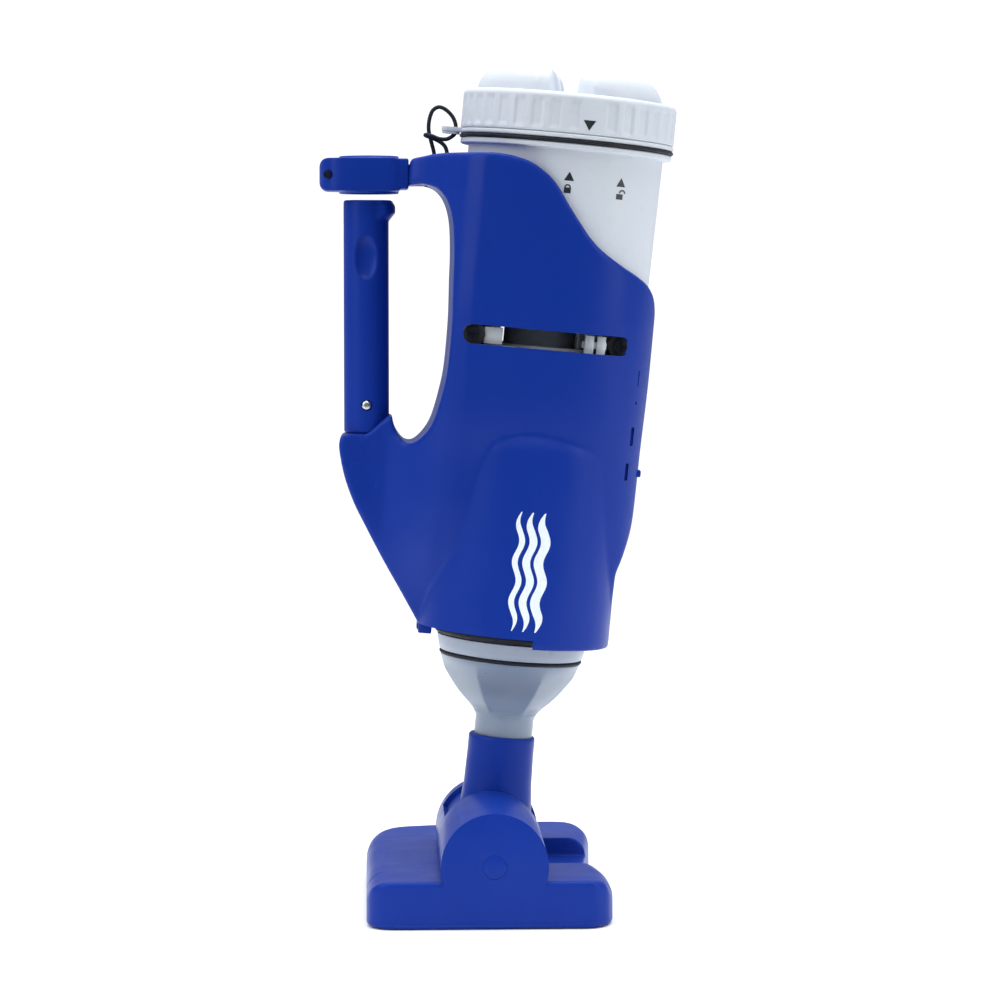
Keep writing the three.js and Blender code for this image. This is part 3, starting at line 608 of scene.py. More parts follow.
BLUE = moulded("blue_plastic", (0.0052, 0.0295, 0.262), 0.33, worn=(0.012, 0.055, 0.33), shine=0.12)
PALE = moulded("pale_grey_plastic", (0.57, 0.61, 0.67), 0.38, worn=(0.66, 0.70, 0.74), shine=0.35)
COLLAR_GREY = moulded("collar_plastic", (0.30, 0.345, 0.43), 0.3, worn=(0.42, 0.46, 0.52))
# Dark plastic for the battery cradle and the impeller; the same material paints the shade inside the
# housing's slot.
DARK = moulded("dark_plastic", (0.02, 0.022, 0.028), 0.45, worn=(0.06, 0.06, 0.07))
BLACK = rubber("black_rubber", (0.010, 0.011, 0.016))
CORD = rubber("tether_rubber", (0.012, 0.014, 0.022))
STEEL = machined("bright_steel", (0.60, 0.61, 0.63), 0.28)
# Near-black steel for the screws set in recesses: its darkness is painted shade of those recesses.
DARK_STEEL = machined("steel_darkened_for_recess_shade", (0.035, 0.04, 0.06), 0.38)
MOTOR_STEEL = machined("motor_steel", (0.42, 0.43, 0.45), 0.36)
CLEAR = clear_plastic("clear_plastic")
MESH = woven("filter_cloth", (0.78, 0.78, 0.74))
CELL = shrink_wrap_film("cell_wrap", (0.03, 0.22, 0.09))
WHITE_INK = ink("white_ink", (0.80, 0.86, 0.93), (0.45, 0.55, 0.80))
DARK_INK = ink("dark_ink", (0.012, 0.016, 0.022), (0.06, 0.07, 0.08))


# ---------------- tether
def make_tether():
    points = [BODY @ p for p in spline(TETHER_ROUTE, 4)]
    data = bpy.data.curves.new("tether_cord", "CURVE")
    data.dimensions = "3D"
    data.bevel_depth = TETHER_R * MM
    data.bevel_resolution = 5
    data.use_fill_caps = True
    line = data.splines.new("POLY")
    line.points.add(len(points) - 1)
    for point, place in zip(line.points, points):
        point.co = (*place, 1)
    data.materials.append(CORD)
    cord = bpy.data.objects.new("tether_cord", data)
    scene.collection.objects.link(cord)
    graph = bpy.context.evaluated_depsgraph_get()
    tube = add_object("tether", bpy.data.meshes.new_from_object(cord.evaluated_get(graph)))
    bpy.data.objects.remove(cord)
    tube.data.materials.clear()
    tube.data.materials.append(CORD)
    tube.data.shade_smooth()
    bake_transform(tube)
    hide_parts("cap_tether")


# ---------------- housing
def handle_tool(obj):
    return moved(obj, HANDLE_IN_BODY)


def housing_skin():
    """The outer form: two outlines met, drawn in low down, the filter chamber's round added."""
    skin = slab_y(housing_outline(), -90, 90, "housing")
    softened(meet(skin, slab_z(plan_outline(), 100, 430)), 1.6, 0)
    for vertex in skin.data.vertices:
        vertex.co.y *= depth_share(vertex.co.z)
    chamber = [(0, SKIRT_FOOT), (FILTER_R, SKIRT_FOOT)]
    chamber += arc(FILTER_R - DOME_R, DOME_TOP - DOME_R, DOME_R, 0, 90, 12)
    join(skin, lathe("chamber", chamber + [(0, DOME_TOP)], AXIS_U, sides=160))
    return softened(skin, 1.25, 7)


def paint_slot_shade(shell):
    """Painted shade: the faces deep in the slot's recess and on the screw posts in it take the dark
    material, where the blue plastic only lies in shadow.
    """
    shell.data.materials.clear()
    shell.data.materials.append(BLUE)
    # The second material is the dark plastic, here painting the slot's shade.
    shell.data.materials.append(DARK)
    for face in shell.data.polygons:
        u, v, t = face.center
        aside = u - min(max(u, SLOT_LEFT), SLOT_RIGHT)
        if math.hypot(aside, t - SLOT_HEIGHT) > SLOT_R + 0.2:
            continue
        surface = math.sqrt(max(0, SHELL_R ** 2 - max(0, u - POD_U) ** 2))
        wall = abs(face.normal.y) < 0.3 and abs(v) < surface + 1
        floor = abs(v) < surface - 2
        face.material_index = 1 if wall or floor else 0


def make_housing():
    shell = housing_skin()
    hollow = copy_of(shell, "hollow")
    add_remesh(hollow, 2.6)
    shrink = hollow.modifiers.new("shrink", "DISPLACE")
    shrink.strength = -WALL - 0.3
    shrink.mid_level = 0
    add_remesh(hollow, 2.4)
    applied(hollow)

    chamber = lathe("bore", [(0, 90), (FILTER_R - WALL, 90), (FILTER_R - WALL, HUMP_TOP - 11),
                             (FILTER_R - 12, HUMP_TOP - WALL), (0, HUMP_TOP - WALL)], AXIS_U)
    pod = lathe("bore", [(0, POD_FLOOR - 4), (57, POD_FLOOR - 4), (POD_R + 0.9, POD_FLANGE - 8),
                         (POD_R + 0.9, 440), (0, 440)], POD_U, sides=160)
    core = copy_of(shell, "core")
    inner = copy_of(shell, "inner")
    for vertex in inner.data.vertices:
        vertex.co.y *= INNER_SHARE
    socket = meet(handle_tool(rod_z(16, -32, -2)), core)
    cut(shell, hollow, chamber, pod)
    shelf = slab_z(arc(POD_U, 0, 58.5, 0, 357, 119), 254, 257)
    cut(meet(shelf, copy_of(inner, "inner")), rod_z(43, 250, 260, AXIS_U))
    bosses = [meet(rod_y(BOSS_R, -70, 70, u, SLOT_HEIGHT), copy_of(inner, "inner"))
              for u in (SLOT_LEFT, SLOT_RIGHT)]
    join(shell, socket, shelf, *bosses)
    bpy.data.objects.remove(inner)

    for u, seat in SLOT_ENDS:
        inward = u + (POCKET_LENGTH if u < 0 else -POCKET_LENGTH)
        pocket = stadium(min(u, inward), max(u, inward), SLOT_HEIGHT, SLOT_R)
        cut(shell, slab_y(pocket, -75, -seat), slab_y(pocket, seat, 75),
            rod_y(2.3, -60, 14, u, SLOT_HEIGHT, 24))
    through = stadium(SLOT_LEFT + POCKET_LENGTH, SLOT_RIGHT - POCKET_LENGTH, SLOT_HEIGHT, SLOT_R)
    cut(
        shell, slab_y(through, -75, 75),
        handle_tool(rod_z(GRIP_R + GAP, 0, 40)), handle_tool(rod_z(12 + GAP, -27, 40)),
        handle_tool(bevelled(block(18, 40, -12.3, 12.3, 146.7, 159.8), 1)),
        rod_z(1.6, 395, 412, -68.9, -6, 24), rod_z(1.6, 395, 412, -61.2, -6, 24),
    )
    for u, low, high, floor in EDGE_SLITS:
        cut(shell, slab_y(rounded_rect(u - 1, u + 1, low, high, 0.9), -40, floor))

    back = copy_of(shell, "housing_shell_back")
    cut(back, block(-150, 120, -100, GAP / 2, 80, 440))
    cut(shell, block(-150, 120, -GAP / 2, 100, 80, 440), block(-90, 13, -90, 10, 90, SKIRT_NOTCH))
    join(shell, bevelled(block(-53.5, -45.5, -10, -2, 120, 127.4), 0.8),
         bevelled(block(65, 70.4, -14, -4, 224.6, 228.8), 0.9))
    shell.name = "housing_shell_front"
    # Both halves get the painted shade in their slot.
    for half in (shell, back):
        paint_slot_shade(half)
    finished(shell, BODY, "housing", BLUE, ["housing_front"], 32)
    finished(back, BODY, "housing", BLUE, ["housing_back"], 32)
    return shell


def drawn_on(target, name, shapes, material, body):
    """Printed marks: flat outlines in the body's u and t, laid on the target's near side."""
    toward = (BODY.to_3x3() @ Vector((0, 1, 0))).normalized()
    bm = bmesh.new()
    bm.from_mesh(target.data)
    tree = BVHTree.FromBMesh(bm)
    bm.free()
    verts, faces = [], []
    for strip in shapes:
        start = len(verts)
        for pair in strip:
            for u, t in pair:
                hit = tree.ray_cast(BODY @ Vector((u, -200, t)), toward)[0]
                verts.append(hit - toward * INK_LIFT * MM)
        for i in range(len(strip) - 1):
            a = start + 2 * i
            faces.append((a, a + 1, a + 3, a + 2))
    mesh = bpy.data.meshes.new(name)
    mesh.from_pydata([tuple(v) for v in verts], [], faces)
    marks = add_object(name, mesh)
    skin = marks.modifiers.new("thickness", "SOLIDIFY")
    skin.thickness = INK_THICK * MM
    skin.offset = 0
    applied(marks)
    finished(marks, Matrix.Identity(4), body, material)


def wave_strip(u, width):
    """A wavy band that runs up the body, thinner at its ends."""
    strip = []
    steps = 90
    for k in range(steps + 1):
        s = k / steps
        middle = u + WAVE_SWING * math.sin(2 * math.pi * WAVES * s)
        half = width / 2 * min(1, 6 * s + 0.15, 6 * (1 - s) + 0.15)
        t = WAVE_FOOT + (WAVE_TOP - WAVE_FOOT) * s
        strip.append(((middle - half, t), (middle + half, t)))
    return strip


def arrow(u, t, width, height, up=True):
    tip = t + height if up else t
    foot = t if up else t + height
    return [((u - width / 2, foot), (u + width / 2, foot)), ((u - 0.05, tip), (u + 0.05, tip))]


def shackle(u, t):
    inner, outer = (arc(u, t, radius, -10, 190, 14) for radius in (1.1, 1.9))
    return [(tuple(a), tuple(b)) for a, b in zip(inner, outer)]


def padlock(u, t, is_open):
    """A small padlock sign: a body and a shackle, which is swung aside when open."""
    aside, rise = (1.5, 1.5) if is_open else (0, 0.9)
    return [
        [((u - 2, t - 2.4), (u + 2, t - 2.4)), ((u - 2, t + 0.8), (u + 2, t + 0.8))],
        shackle(u + aside, t + rise),
    ]


def make_marks(shell, pod, cap_skirt):
    waves = [wave_strip(u, width) for u, width in ((-0.5, 3.4), (6.2, 4.6), (13.4, 5.6))]
    drawn_on(shell, "wave_print", waves, WHITE_INK, "housing")
    signs = [arrow(9.1, 394.8, 6.0, 5.2), arrow(40.0, 394.2, 5.4, 5.2)]
    signs += padlock(8.6, 390.0, False) + padlock(39.7, 389.2, True)
    drawn_on(pod, "lock_signs", signs, DARK_INK, "housing")
    drawn_on(cap_skirt, "cap_arrow", [arrow(17.7, 424.4, 7.4, 5.8, up=False)], DARK_INK, "cap")


def make_slot_posts():
    """The pump housing's pale posts, seen through both slots, with thin pale ledges at their feet that
    paint the highlights on the slots' lower inner lips.
    """
    posts = block(-31.8, -21, -56, -46, 296.8, 306.5)
    # The two thin blocks near 295 mm are pale ledges that paint highlights on the slots' lower inner
    # lips.
    join(
        posts, block(27.5, 32.6, -52, -42, 296, 306.5), block(34.6, 39.6, -50.4, -42, 296, 306.5),
        block(26, 40.2, -49.4, -42, 299, 303), block(-34, -12, -55, -45, 295.2, 296.2),
        block(14, 36, -51, -42, 294.9, 295.9), block(-34, 40, -46, -42, 290, 295.2),
    )
    bevelled(posts, 0.4, 2)
    turned = moved(copy_of(posts, "far"), Matrix.Scale(-1, 4, (0, 1, 0)))
    turned.data.flip_normals()
    join(posts, turned)
    posts.name = "pump_slot_posts"
    finished(posts, BODY, "housing", PALE)


# ---------------- pod, seal and cap
def make_pod():
    wall = 2.4
    profile = [(0, POD_FLOOR), (54.6, POD_FLOOR), (56.1, POD_FLOOR + 1.5), (POD_R, POD_FLANGE - 8)]
    profile += [(POD_R, POD_FLANGE - 1.2), (POD_R + 0.4, POD_FLANGE - 0.3), (POD_R + 1.2, POD_FLANGE)]
    profile += [(CAP_R - 1.2, POD_FLANGE), (CAP_R - 0.6, POD_FLANGE + 0.6),
                (CAP_R - 0.6, POD_FLANGE + 2.6), (CAP_R - 1.2, POD_FLANGE + 3.2),
                (POD_R - 0.6, POD_FLANGE + 3.2)]
    for turn in range(3):
        foot = 424.5 + 4 * turn
        profile += [(POD_R - 0.6, foot), (POD_R + 0.5, foot + 0.9), (POD_R + 0.5, foot + 1.5),
                    (POD_R - 0.6, foot + 2.4)]
    profile += [(POD_R - 0.6, 437), (55.6, 437), (55.6, POD_FLANGE - 6),
                (56.1 - wall, POD_FLOOR + wall), (0, POD_FLOOR + wall)]
    pod = lathe("pod", profile, POD_U, sides=192)
    well = lathe("well", [(0, 291), (20.5, 291), (21.5, 292), (21.5, POD_FLOOR + 1),
                          (0, POD_FLOOR + 1)], AXIS_U)
    bore = lathe("bore", [(0, 293.6), (19.2, 293.6), (19.2, POD_FLOOR + 6), (0, POD_FLOOR + 6)],
                 AXIS_U)
    cut(join(pod, well), bore, rod_z(5, 285, 300, AXIS_U))
    pod.name = "pod_tube"
    return finished(pod, BODY, "housing", PALE, ["battery_pod"])


def make_seal():
    low = CAP_FOOT - GAP - 2.6
    high = CAP_FOOT - GAP
    profile = [(59, low), (CAP_R - 0.5, low), (CAP_R + 0.2, low + 0.7), (CAP_R + 0.2, high - 0.7),
               (CAP_R - 0.5, high), (59, high)]
    ring = lathe("tether_band", profile, POD_U, sides=192)
    tab = bevelled(slab_z(rounded_rect(-66, -50, -10, -2, 3.4), low, high), 0.5)
    boss = bevelled(slab_z(rounded_rect(-65.6, -55.2, -9.6, -2.4, 3.2), low - 1.5, high - 0.6), 0.5)
    cut(join(ring, tab, boss), rod_z(1.6, 400, 430, TAB_EYE_U, -6, 32),
        rod_z(59, 400, high + 1, POD_U, 0, 192))
    finished(ring, BODY, "cap_seal", PALE, ["tether_ring"])
    cord_r = 1.1
    middle = CAP_R - 0.8
    round_part = arc(middle, SEAL_HEIGHT, cord_r, -90, 90, 10)
    seal = lathe("cap_seal_ring", [(58.2, SEAL_HEIGHT - cord_r)] + round_part
                 + [(58.2, SEAL_HEIGHT + cord_r)], POD_U, sides=192)
    finished(seal, BODY, "cap_seal", BLACK, ["cap_o_ring"])


RIBS = 36
ARROW_TURN = math.radians(278)


def ribbed(radius, height, angle):
    """Shallow upright ribs on the cap's skirt, fading out at its edges."""
    if radius < CAP_R - 0.05 or abs(angle - ARROW_TURN) < math.radians(5.2):
        return radius
    place = RIBS * angle / (2 * math.pi) % 1
    step = min(1, max(0, (abs(place - 0.5) - 0.17) / 0.09))
    fade = min(1, max(0, (height - 424) / 1.5), max(0, (441.5 - height) / 1.5))
    return radius - 0.85 * fade * step


LOBE_CENTRE = Vector((20, 20))
LOBE_SLOPE = [(1, -2), (1, 2), (0.97, 6.5), (0.92, 10.5), (0.85, 13.8), (0.76, 16), (0.62, 17.3),
              (0.4, 17.8)]


def lobe_outline():
    """One of four finger lobes: a ring sector with round corners."""
    return (arc(0, 0, 57, 17, 73, 16) + arc(12.5, 46, 6, 90, 175, 5)
            + arc(11.5, 11.5, 5.5, 190, 260, 5) + arc(46, 12.5, 6, -85, 0, 5))


def lobe_share(r):
    """The lobes fall away outwards and, over a short way, towards the middle."""
    return 1 - 0.0075 * max(0, r - 26) - 0.013 * max(0, 26 - r)


def make_lobe():
    """The lobe's outline drawn in step by step to a low, broad top."""
    outline = lobe_outline()
    rings = []
    for size, rise in LOBE_SLOPE:
        points = [LOBE_CENTRE + (p - LOBE_CENTRE) * size for p in outline]
        rings.append([(p.x, p.y, CAP_DECK + rise * lobe_share(p.length)) for p in points])
    return softened(stacked("lobe", rings), 0.8, 11)


def make_cap():
    profile = [(60.6, CAP_FOOT), (CAP_R - 0.5, CAP_FOOT), (CAP_R, CAP_FOOT + 0.5)]
    profile += [(CAP_R, CAP_FOOT + 0.5 + 19.5 * k / 16) for k in range(1, 17)]
    profile += arc(CAP_R - 3.4, CAP_DECK - 3, 3.4, 8, 90, 7)[:-1]
    profile += [(CAP_R - 3.4, CAP_DECK + 0.4), (CAP_R - 6, CAP_DECK + 0.2), (CAP_R - 7, CAP_DECK - 0.4),
                (0, CAP_DECK - 0.4), (0, CAP_DECK - 3), (60.6, CAP_DECK - 3)]
    cap = lathe("cap_shell", profile, POD_U, sides=480, radius_of=ribbed)
    for quarter in range(4):
        lobe = make_lobe()
        turn = Matrix.Rotation(math.pi / 2 * quarter - math.radians(7), 4, "Z")
        moved(lobe, Matrix.Translation((POD_U, 0, 0)) @ turn)
        join(cap, lobe)
    return finished(cap, BODY, "cap", PALE, ["cap"], 50)


# ---------------- ring and grip
def make_ring():
    middle = (RING_FOOT + RING_TOP) / 2
    bar = slab_y(rounded_rect(-27.6, 22.4, middle - 9.8, middle + 9.8, 5), -40, 40)
    meet(bar, slab_z(rounded_rect(-27.6, 30, -RING_HALF_DEPTH, RING_HALF_DEPTH, 16), 130, 180))
    join(bar, rod_z(17.6, RING_FOOT, RING_TOP, RING_SHIFT, 0, 96))
    cut(bar, rod_z(RING_BORE_R - 0.2, 130, 180, RING_SHIFT, 0, 96))
    softened(bar, 0.6, 5)
    tongue = bevelled(block(17, 35, -12, 12, 147, 159.5), 0.6)
    shoulder = bevelled(block(18, 25.2, -18.4, 18.4, middle - 8.6, middle + 9.4), 1.2)
    for part in (tongue, shoulder):
        join(bar, cut(part, rod_z(RING_BORE_R + 0.6, 130, 180, RING_SHIFT, 0, 96)))
    cut(bar, slab_y(stadium(-22.8, -22.8, middle, 3.2), -30, -15.4),
        rod_y(1.9, -30, 8, -22.8, middle, 24))
    bar.name = "ring_clamp"
    finished(bar, HANDLE, "housing", BLUE, ["pole_ring"])


def make_grip():
    stop = lathe("stop", [(0, 124), (10, 124), (15.6, 131), (15.6, 135), (13.4, GRIP_LENGTH),
                          (0, GRIP_LENGTH)], RING_SHIFT, sides=96)
    meet(stop, block(4, 20, -12, 12, 120, 140))
    tube = rod_z(GRIP_R, GAP, GRIP_LENGTH, 0, 0, 128)
    thumb = bpy.data.meshes.new("thumb")
    bm = bmesh.new()
    bmesh.ops.create_uvsphere(bm, u_segments=48, v_segments=32, radius=1)
    bm.to_mesh(thumb)
    bm.free()
    thumb = add_object("thumb", thumb)
    moved(thumb, Matrix.Translation((0, -GRIP_R - 0.8, 104.4)) @ Matrix.Diagonal((7.8, 4.6, 13, 1)))
    grip = cut(join(tube, stop), thumb)
    softened(grip, 0.75, 5)
    join(grip, rod_z(12, -26, 4, 0, 0, 96))
    cut(grip, rod_z(9.6, -40, 90, 0, 0, 64), rod_y(BUTTON_R + GAP, -20, 0, 0, BUTTON_HEIGHT, 48))
    grip.name = "grip_tube"
    finished(grip, HANDLE, "grip", BLUE, ["handle_grip"])


def make_button():
    profile = [(0, 0), (BUTTON_R, 0), (BUTTON_R, 4.6)]
    profile += arc(BUTTON_R - 1.9, 4.8, 1.9, 0, 80, 6)
    dome = lathe("button_dome", profile + [(0, 6.95)], sides=48)
    turn = Matrix.Translation((0, -7.6, BUTTON_HEIGHT)) @ Matrix.Rotation(math.pi / 2, 4, "X")
    finished(dome, HANDLE @ turn, "button", STEEL, ["snap_button"])


# ---------------- nose
FACETS = 6


def faceted(radius, height, angle):
    """Six broad flats on the cone, fading out towards its rim and its outlet."""
    if not CONE_FOOT + 1 < height < CONE_RIM - 0.5 or radius < 19:
        return radius
    turn = (angle - math.radians(-90 + 30 - 2)) % (2 * math.pi / FACETS) - math.pi / FACETS
    flat = math.cos(math.pi / FACETS) / math.cos(turn)
    fade = min(1, (CONE_RIM - 0.5 - height) / 8, (height - CONE_FOOT - 1) / 5)
    return radius * (1 - 0.85 * fade * (1 - flat))


def make_nose():
    wall = 1.9
    bowl = spline([(17.6, 73), (18.6, 75.2), (21.4, 78.9), (28.6, 86), (34.6, 93.6), (38.8, 100),
                   (42.2, CONE_RIM)], 5)
    outer = [(p.x, p.y) for p in bowl]
    inner = [(p.x - wall, p.y + 0.6) for p in reversed(bowl[1:-1])]
    profile = [(17.6, 46.5)] + outer + [(COLLAR_R - 3.4, CONE_RIM), (COLLAR_R - 3.4, CONE_RIM + 9),
                                       (COLLAR_R - 5.4, CONE_RIM + 9)]
    profile += inner + [(15.7, 73), (15.7, 46.5)]
    cone = lathe("cone_bowl", profile, AXIS_U, sides=180, radius_of=faceted)
    seat = lathe("seat", [(21.5, 88.4), (28.6, 88.4), (28.6, 90.7), (21.5, 90.7)], AXIS_U,
                 sides=180, radius_of=faceted)
    join(cone, seat)
    for y in (-9.6, 7.6):
        join(cone, block(AXIS_U - 26.4, AXIS_U - 22, y, y + 2, 89, 95.8))
    cut(cone, rod_y(1.2, -12, 12, AXIS_U - 24, 93.4, 24))
    without_slivers(cone)
    finished(cone, BODY, "nose", CLEAR, ["nose_cone"], 45)

    collar = lathe("collar_ring", [
        (COLLAR_R - 3, COLLAR_FOOT + 0.4), (COLLAR_R - 2.6, COLLAR_FOOT), (COLLAR_R - 0.6, COLLAR_FOOT),
        (COLLAR_R + 0.1, COLLAR_FOOT + 0.7), (COLLAR_R + 1, 115.6), (COLLAR_R + 1.9, 120),
        (COLLAR_R + 2, COLLAR_TOP - 0.4), (COLLAR_R + 1.5, COLLAR_TOP), (COLLAR_R - 0.6, COLLAR_TOP),
        (COLLAR_R - 0.6, 127), (FILTER_R - WALL - 1.2, 127), (FILTER_R - WALL - 0.7, 127.5),
        (FILTER_R - WALL - 0.7, 129.5), (FILTER_R - WALL - 1.2, 130), (COLLAR_R - 7.6, 130),
        (COLLAR_R - 7.6, 119), (COLLAR_R - 3, 119)], AXIS_U, sides=192)
    finished(collar, BODY, "nose", COLLAR_GREY, ["nose_collar"])
    for name, inner_r, outer_r, low, high, node in (
        ("nose_seal", COLLAR_R - 3, COLLAR_R - 0.1, CONE_RIM + GAP, COLLAR_FOOT - GAP, "nose_o_ring"),
        ("skirt_seal", COLLAR_R - 0.3, COLLAR_R + 4, COLLAR_TOP + GAP, 127 - GAP, "collar_gasket"),
    ):
        middle = (low + high) / 2
        half = (high - low) / 2
        profile = [(inner_r, low)] + arc(outer_r - half, middle, half, -90, 90, 10)
        seal = lathe(name, profile + [(inner_r, high)], AXIS_U, sides=160)
        finished(seal, BODY, "nose", BLACK, [node])


def make_filter():
    """A fine cloth bag over the frame, lightly drawn in between its ribs."""
    outline = spline([(44.4, 131), (45.8, 160), (46.2, 190), (45.4, 212), (43, 229), (37, 237.5),
                      (22, 241.5), (4, 242.6)], 10)
    rings = []
    sides = 120
    for p in outline:
        ring = []
        for k in range(sides):
            angle = 2 * math.pi * k / sides
            drawn = 0.9 * math.cos(6 * (angle - 0.26)) + 0.25 * math.sin(17 * angle + 0.08 * p.y)
            fade = min(1, (p.y - 131) / 12) * min(1, p.x / 30)
            r = p.x + fade * drawn
            ring.append((AXIS_U + r * math.cos(angle), r * math.sin(angle), p.y))
        rings.append(ring)
    count = len(rings)
    verts = [v for ring in rings for v in ring] + [(AXIS_U, 0, 242.7)]
    faces = []
    for r in range(count - 1):
        for k in range(sides):
            n = (k + 1) % sides
            faces.append((r * sides + k, r * sides + n, (r + 1) * sides + n, (r + 1) * sides + k))
    top = (count - 1) * sides
    faces += [(top + k, top + (k + 1) % sides, count * sides) for k in range(sides)]
    mesh = bpy.data.meshes.new("filter_cloth_bag")
    mesh.from_pydata(verts, [], faces)
    bag = add_object("filter_cloth_bag", mesh)
    finished(bag, BODY, "nose", MESH, ["filter_bag"], 80)


# ---------------- neck and vacuum head
def make_neck():
    centre = AXIS_U * 0.8
    tube = lathe("neck_tube", [(0, 6), (22.4, 10), (NECK_R + 1.6, 20), (NECK_R + 0.5, 32),
                               (NECK_R, 50), (NECK_R, NECK_TOP - 1.2),
                               (NECK_R - 1.2, NECK_TOP), (0, NECK_TOP)], centre, sides=128)
    meet(tube, block(-40, 40, -BARREL_HALF, BARREL_HALF, 0, 80))
    barrel = rod_y(BARREL_R, -BARREL_HALF, BARREL_HALF, 0, 0, 128)
    join(tube, barrel)
    softened(tube, 0.8, 4)
    join(tube, rod_y(7.6, -BARREL_HALF - 5, BARREL_HALF + 5))
    bore = lathe("bore", [(0, 46.2), (18, 46.2), (18, 61.8), (18.6, 63), (18.6, 90), (0, 90)], AXIS_U)
    cut(tube, bore, rod_z(15.2, -40, 60, centre))
    finished(tube, BODY, "neck", BLUE, ["neck"])


def head_skin():
    """The block, rounded less along its near face than down its sides, with the saddle cut in."""
    outline = head_plan()
    count = len(outline)
    normals = []
    for i in range(count):
        along = outline[(i + 1) % count] - outline[i - 1]
        normals.append(Vector((-along.y, along.x)).normalized())
    radii = [2.5 + 9.5 * min(1, max(0, (p.y - HEAD_NEAR - 0.5) / 12)) for p in outline]
    rings = [[(p.x, p.y, -12) for p in outline]]
    steps = 9
    for k in range(steps + 1):
        turn = math.pi / 2 * k / steps
        rings.append([
            (p.x + n.x * r * (1 - math.cos(turn)), p.y + n.y * r * (1 - math.cos(turn)),
             HEAD_TOP - r * (1 - math.sin(turn)))
            for p, n, r in zip(outline, normals, radii)
        ])
    skin = stacked("head_skin", rings)
    ends = slab_y(rounded_rect(HEAD_LEFT, HEAD_RIGHT, -40, HEAD_TOP, 13), HEAD_NEAR - 1, -70)
    rest = block(-90, 90, -70, 120, -1, 40)
    meet(skin, join(ends, rest))
    saddle = slab_y(rounded_rect(14, 130, SADDLE_HEIGHT, 90, 8), SADDLE_NEAR, SADDLE_FAR)
    return softened(cut(skin, saddle), 1.0, 5)


def sole_blank(skin):
    """The sole plate's form: the block's own outline, its foot drawn in to a round edge."""
    plate = meet(copy_of(skin, "sole"), block(-100, 100, -130, 130, -10, SOLE_THICK))
    middle = Vector(((HEAD_LEFT + HEAD_RIGHT) / 2, (HEAD_NEAR + HEAD_FAR) / 2))
    outline = head_plan()
    rings = []
    for draw, height in ((2.6, 0), (1.3, 0.45), (0.45, 1.3), (0, 2.5), (-1, SOLE_THICK + 1)):
        size_x = 1 - draw / (HEAD_RIGHT - middle.x)
        size_y = 1 - draw / (HEAD_FAR - middle.y)
        rings.append([(middle.x + (p.x - middle.x) * size_x, middle.y + (p.y - middle.y) * size_y,
                       height) for p in outline])
    return meet(plate, stacked("foot", rings))


def neck_window():
    """The opening in the drum that the neck swings through, WINDOW_LEFT to WINDOW_RIGHT."""
    outline = [Vector((0, AXLE_HEIGHT))]
    steps = 24
    for k in range(steps + 1):
        angle = math.radians(WINDOW_LEFT + (WINDOW_RIGHT - WINDOW_LEFT) * k / steps)
        reach = DRUM_R + 0.8
        outline.append(Vector((reach * math.sin(angle), AXLE_HEIGHT + reach * math.cos(angle))))
    return slab_y(outline, -BARREL_HALF - GAP, BARREL_HALF + GAP)


def make_head():
    shell = head_skin()
    plate = sole_blank(shell)
    cut(shell, block(-100, 100, -130, 130, -30, SOLE_THICK + 0.06))
    drum = rod_y(DRUM_R, HEAD_NEAR, DRUM_FAR, 0, AXLE_HEIGHT, 160)
    bevelled(drum, 0.8, 3)
    join(shell, cut(drum, block(-60, 60, -130, 60, -10, SOLE_THICK + 0.06)))
    cavity = cut(
        slab_z([p * 0.955 for p in head_plan()], 0, SADDLE_HEIGHT - WALL),
        block(-DRUM_R, DRUM_R, -BARREL_HALF - 3, -BARREL_HALF - GAP, -1, 40),
        block(-DRUM_R, DRUM_R, BARREL_HALF + GAP, BARREL_HALF + 3, -1, 40),
    )
    cut(
        shell, cavity,
        block(HEAD_LEFT + 14, -DRUM_BORE_R + 2, HEAD_NEAR + 14, HEAD_FAR - 24, 5, HEAD_TOP - WALL),
        rod_y(DRUM_BORE_R, HEAD_NEAR + 3, -BARREL_HALF - 3, 0, AXLE_HEIGHT, 160),
        rod_y(DRUM_BORE_R, -BARREL_HALF - GAP, BARREL_HALF + GAP, 0, AXLE_HEIGHT, 160),
        rod_y(DRUM_BORE_R, BARREL_HALF + 3, DRUM_FAR - WALL, 0, AXLE_HEIGHT, 160),
        rod_y(7.9, -BARREL_HALF - 6, BARREL_HALF + 6, 0, AXLE_HEIGHT),
        rod_y(AXLE_PLUG_R + 0.06, HEAD_NEAR - 2, HEAD_NEAR + 1.6, 0, AXLE_HEIGHT),
        rod_y(2.4, HEAD_NEAR - 2, HEAD_NEAR + 6, 0, AXLE_HEIGHT),
        neck_window(),
    )
    shell.name = "head_cover"
    finished(shell, HEAD, "head", BLUE, ["head_shell"], 40)

    plug = lathe("plug", [(0, -1.3), (AXLE_PLUG_R, -1.3), (AXLE_PLUG_R, -0.2), (AXLE_PLUG_R - 0.6, 0.1),
                          (AXLE_PLUG_R - 3, 0.5), (AXLE_PLUG_R - 5, 0.65), (0, 0.7)], sides=64)
    moved(plug, Matrix.Translation((0, HEAD_NEAR, AXLE_HEIGHT)) @ Matrix.Rotation(math.pi / 2, 4, "X"))
    join(plug, rod_y(2.1, HEAD_NEAR + 0.5, HEAD_NEAR + 6, 0, AXLE_HEIGHT))
    plug.name = "axle_button"
    finished(plug, HEAD, "head", BLUE, ["axle_plug"])

    cut(plate, slab_z(rounded_rect(-16, 16, -70, 78, 12), -2, SOLE_THICK + 2))
    for x, y in ((-56, -90), (50, -90), (-56, 80), (50, 94)):
        cut(plate, rod_z(3.3, -1, 1.8, x, y, 32), rod_z(1.8, -1, 5, x, y, 24))
    plate.name = "sole"
    finished(plate, HEAD, "head", BLUE, ["sole_plate"])


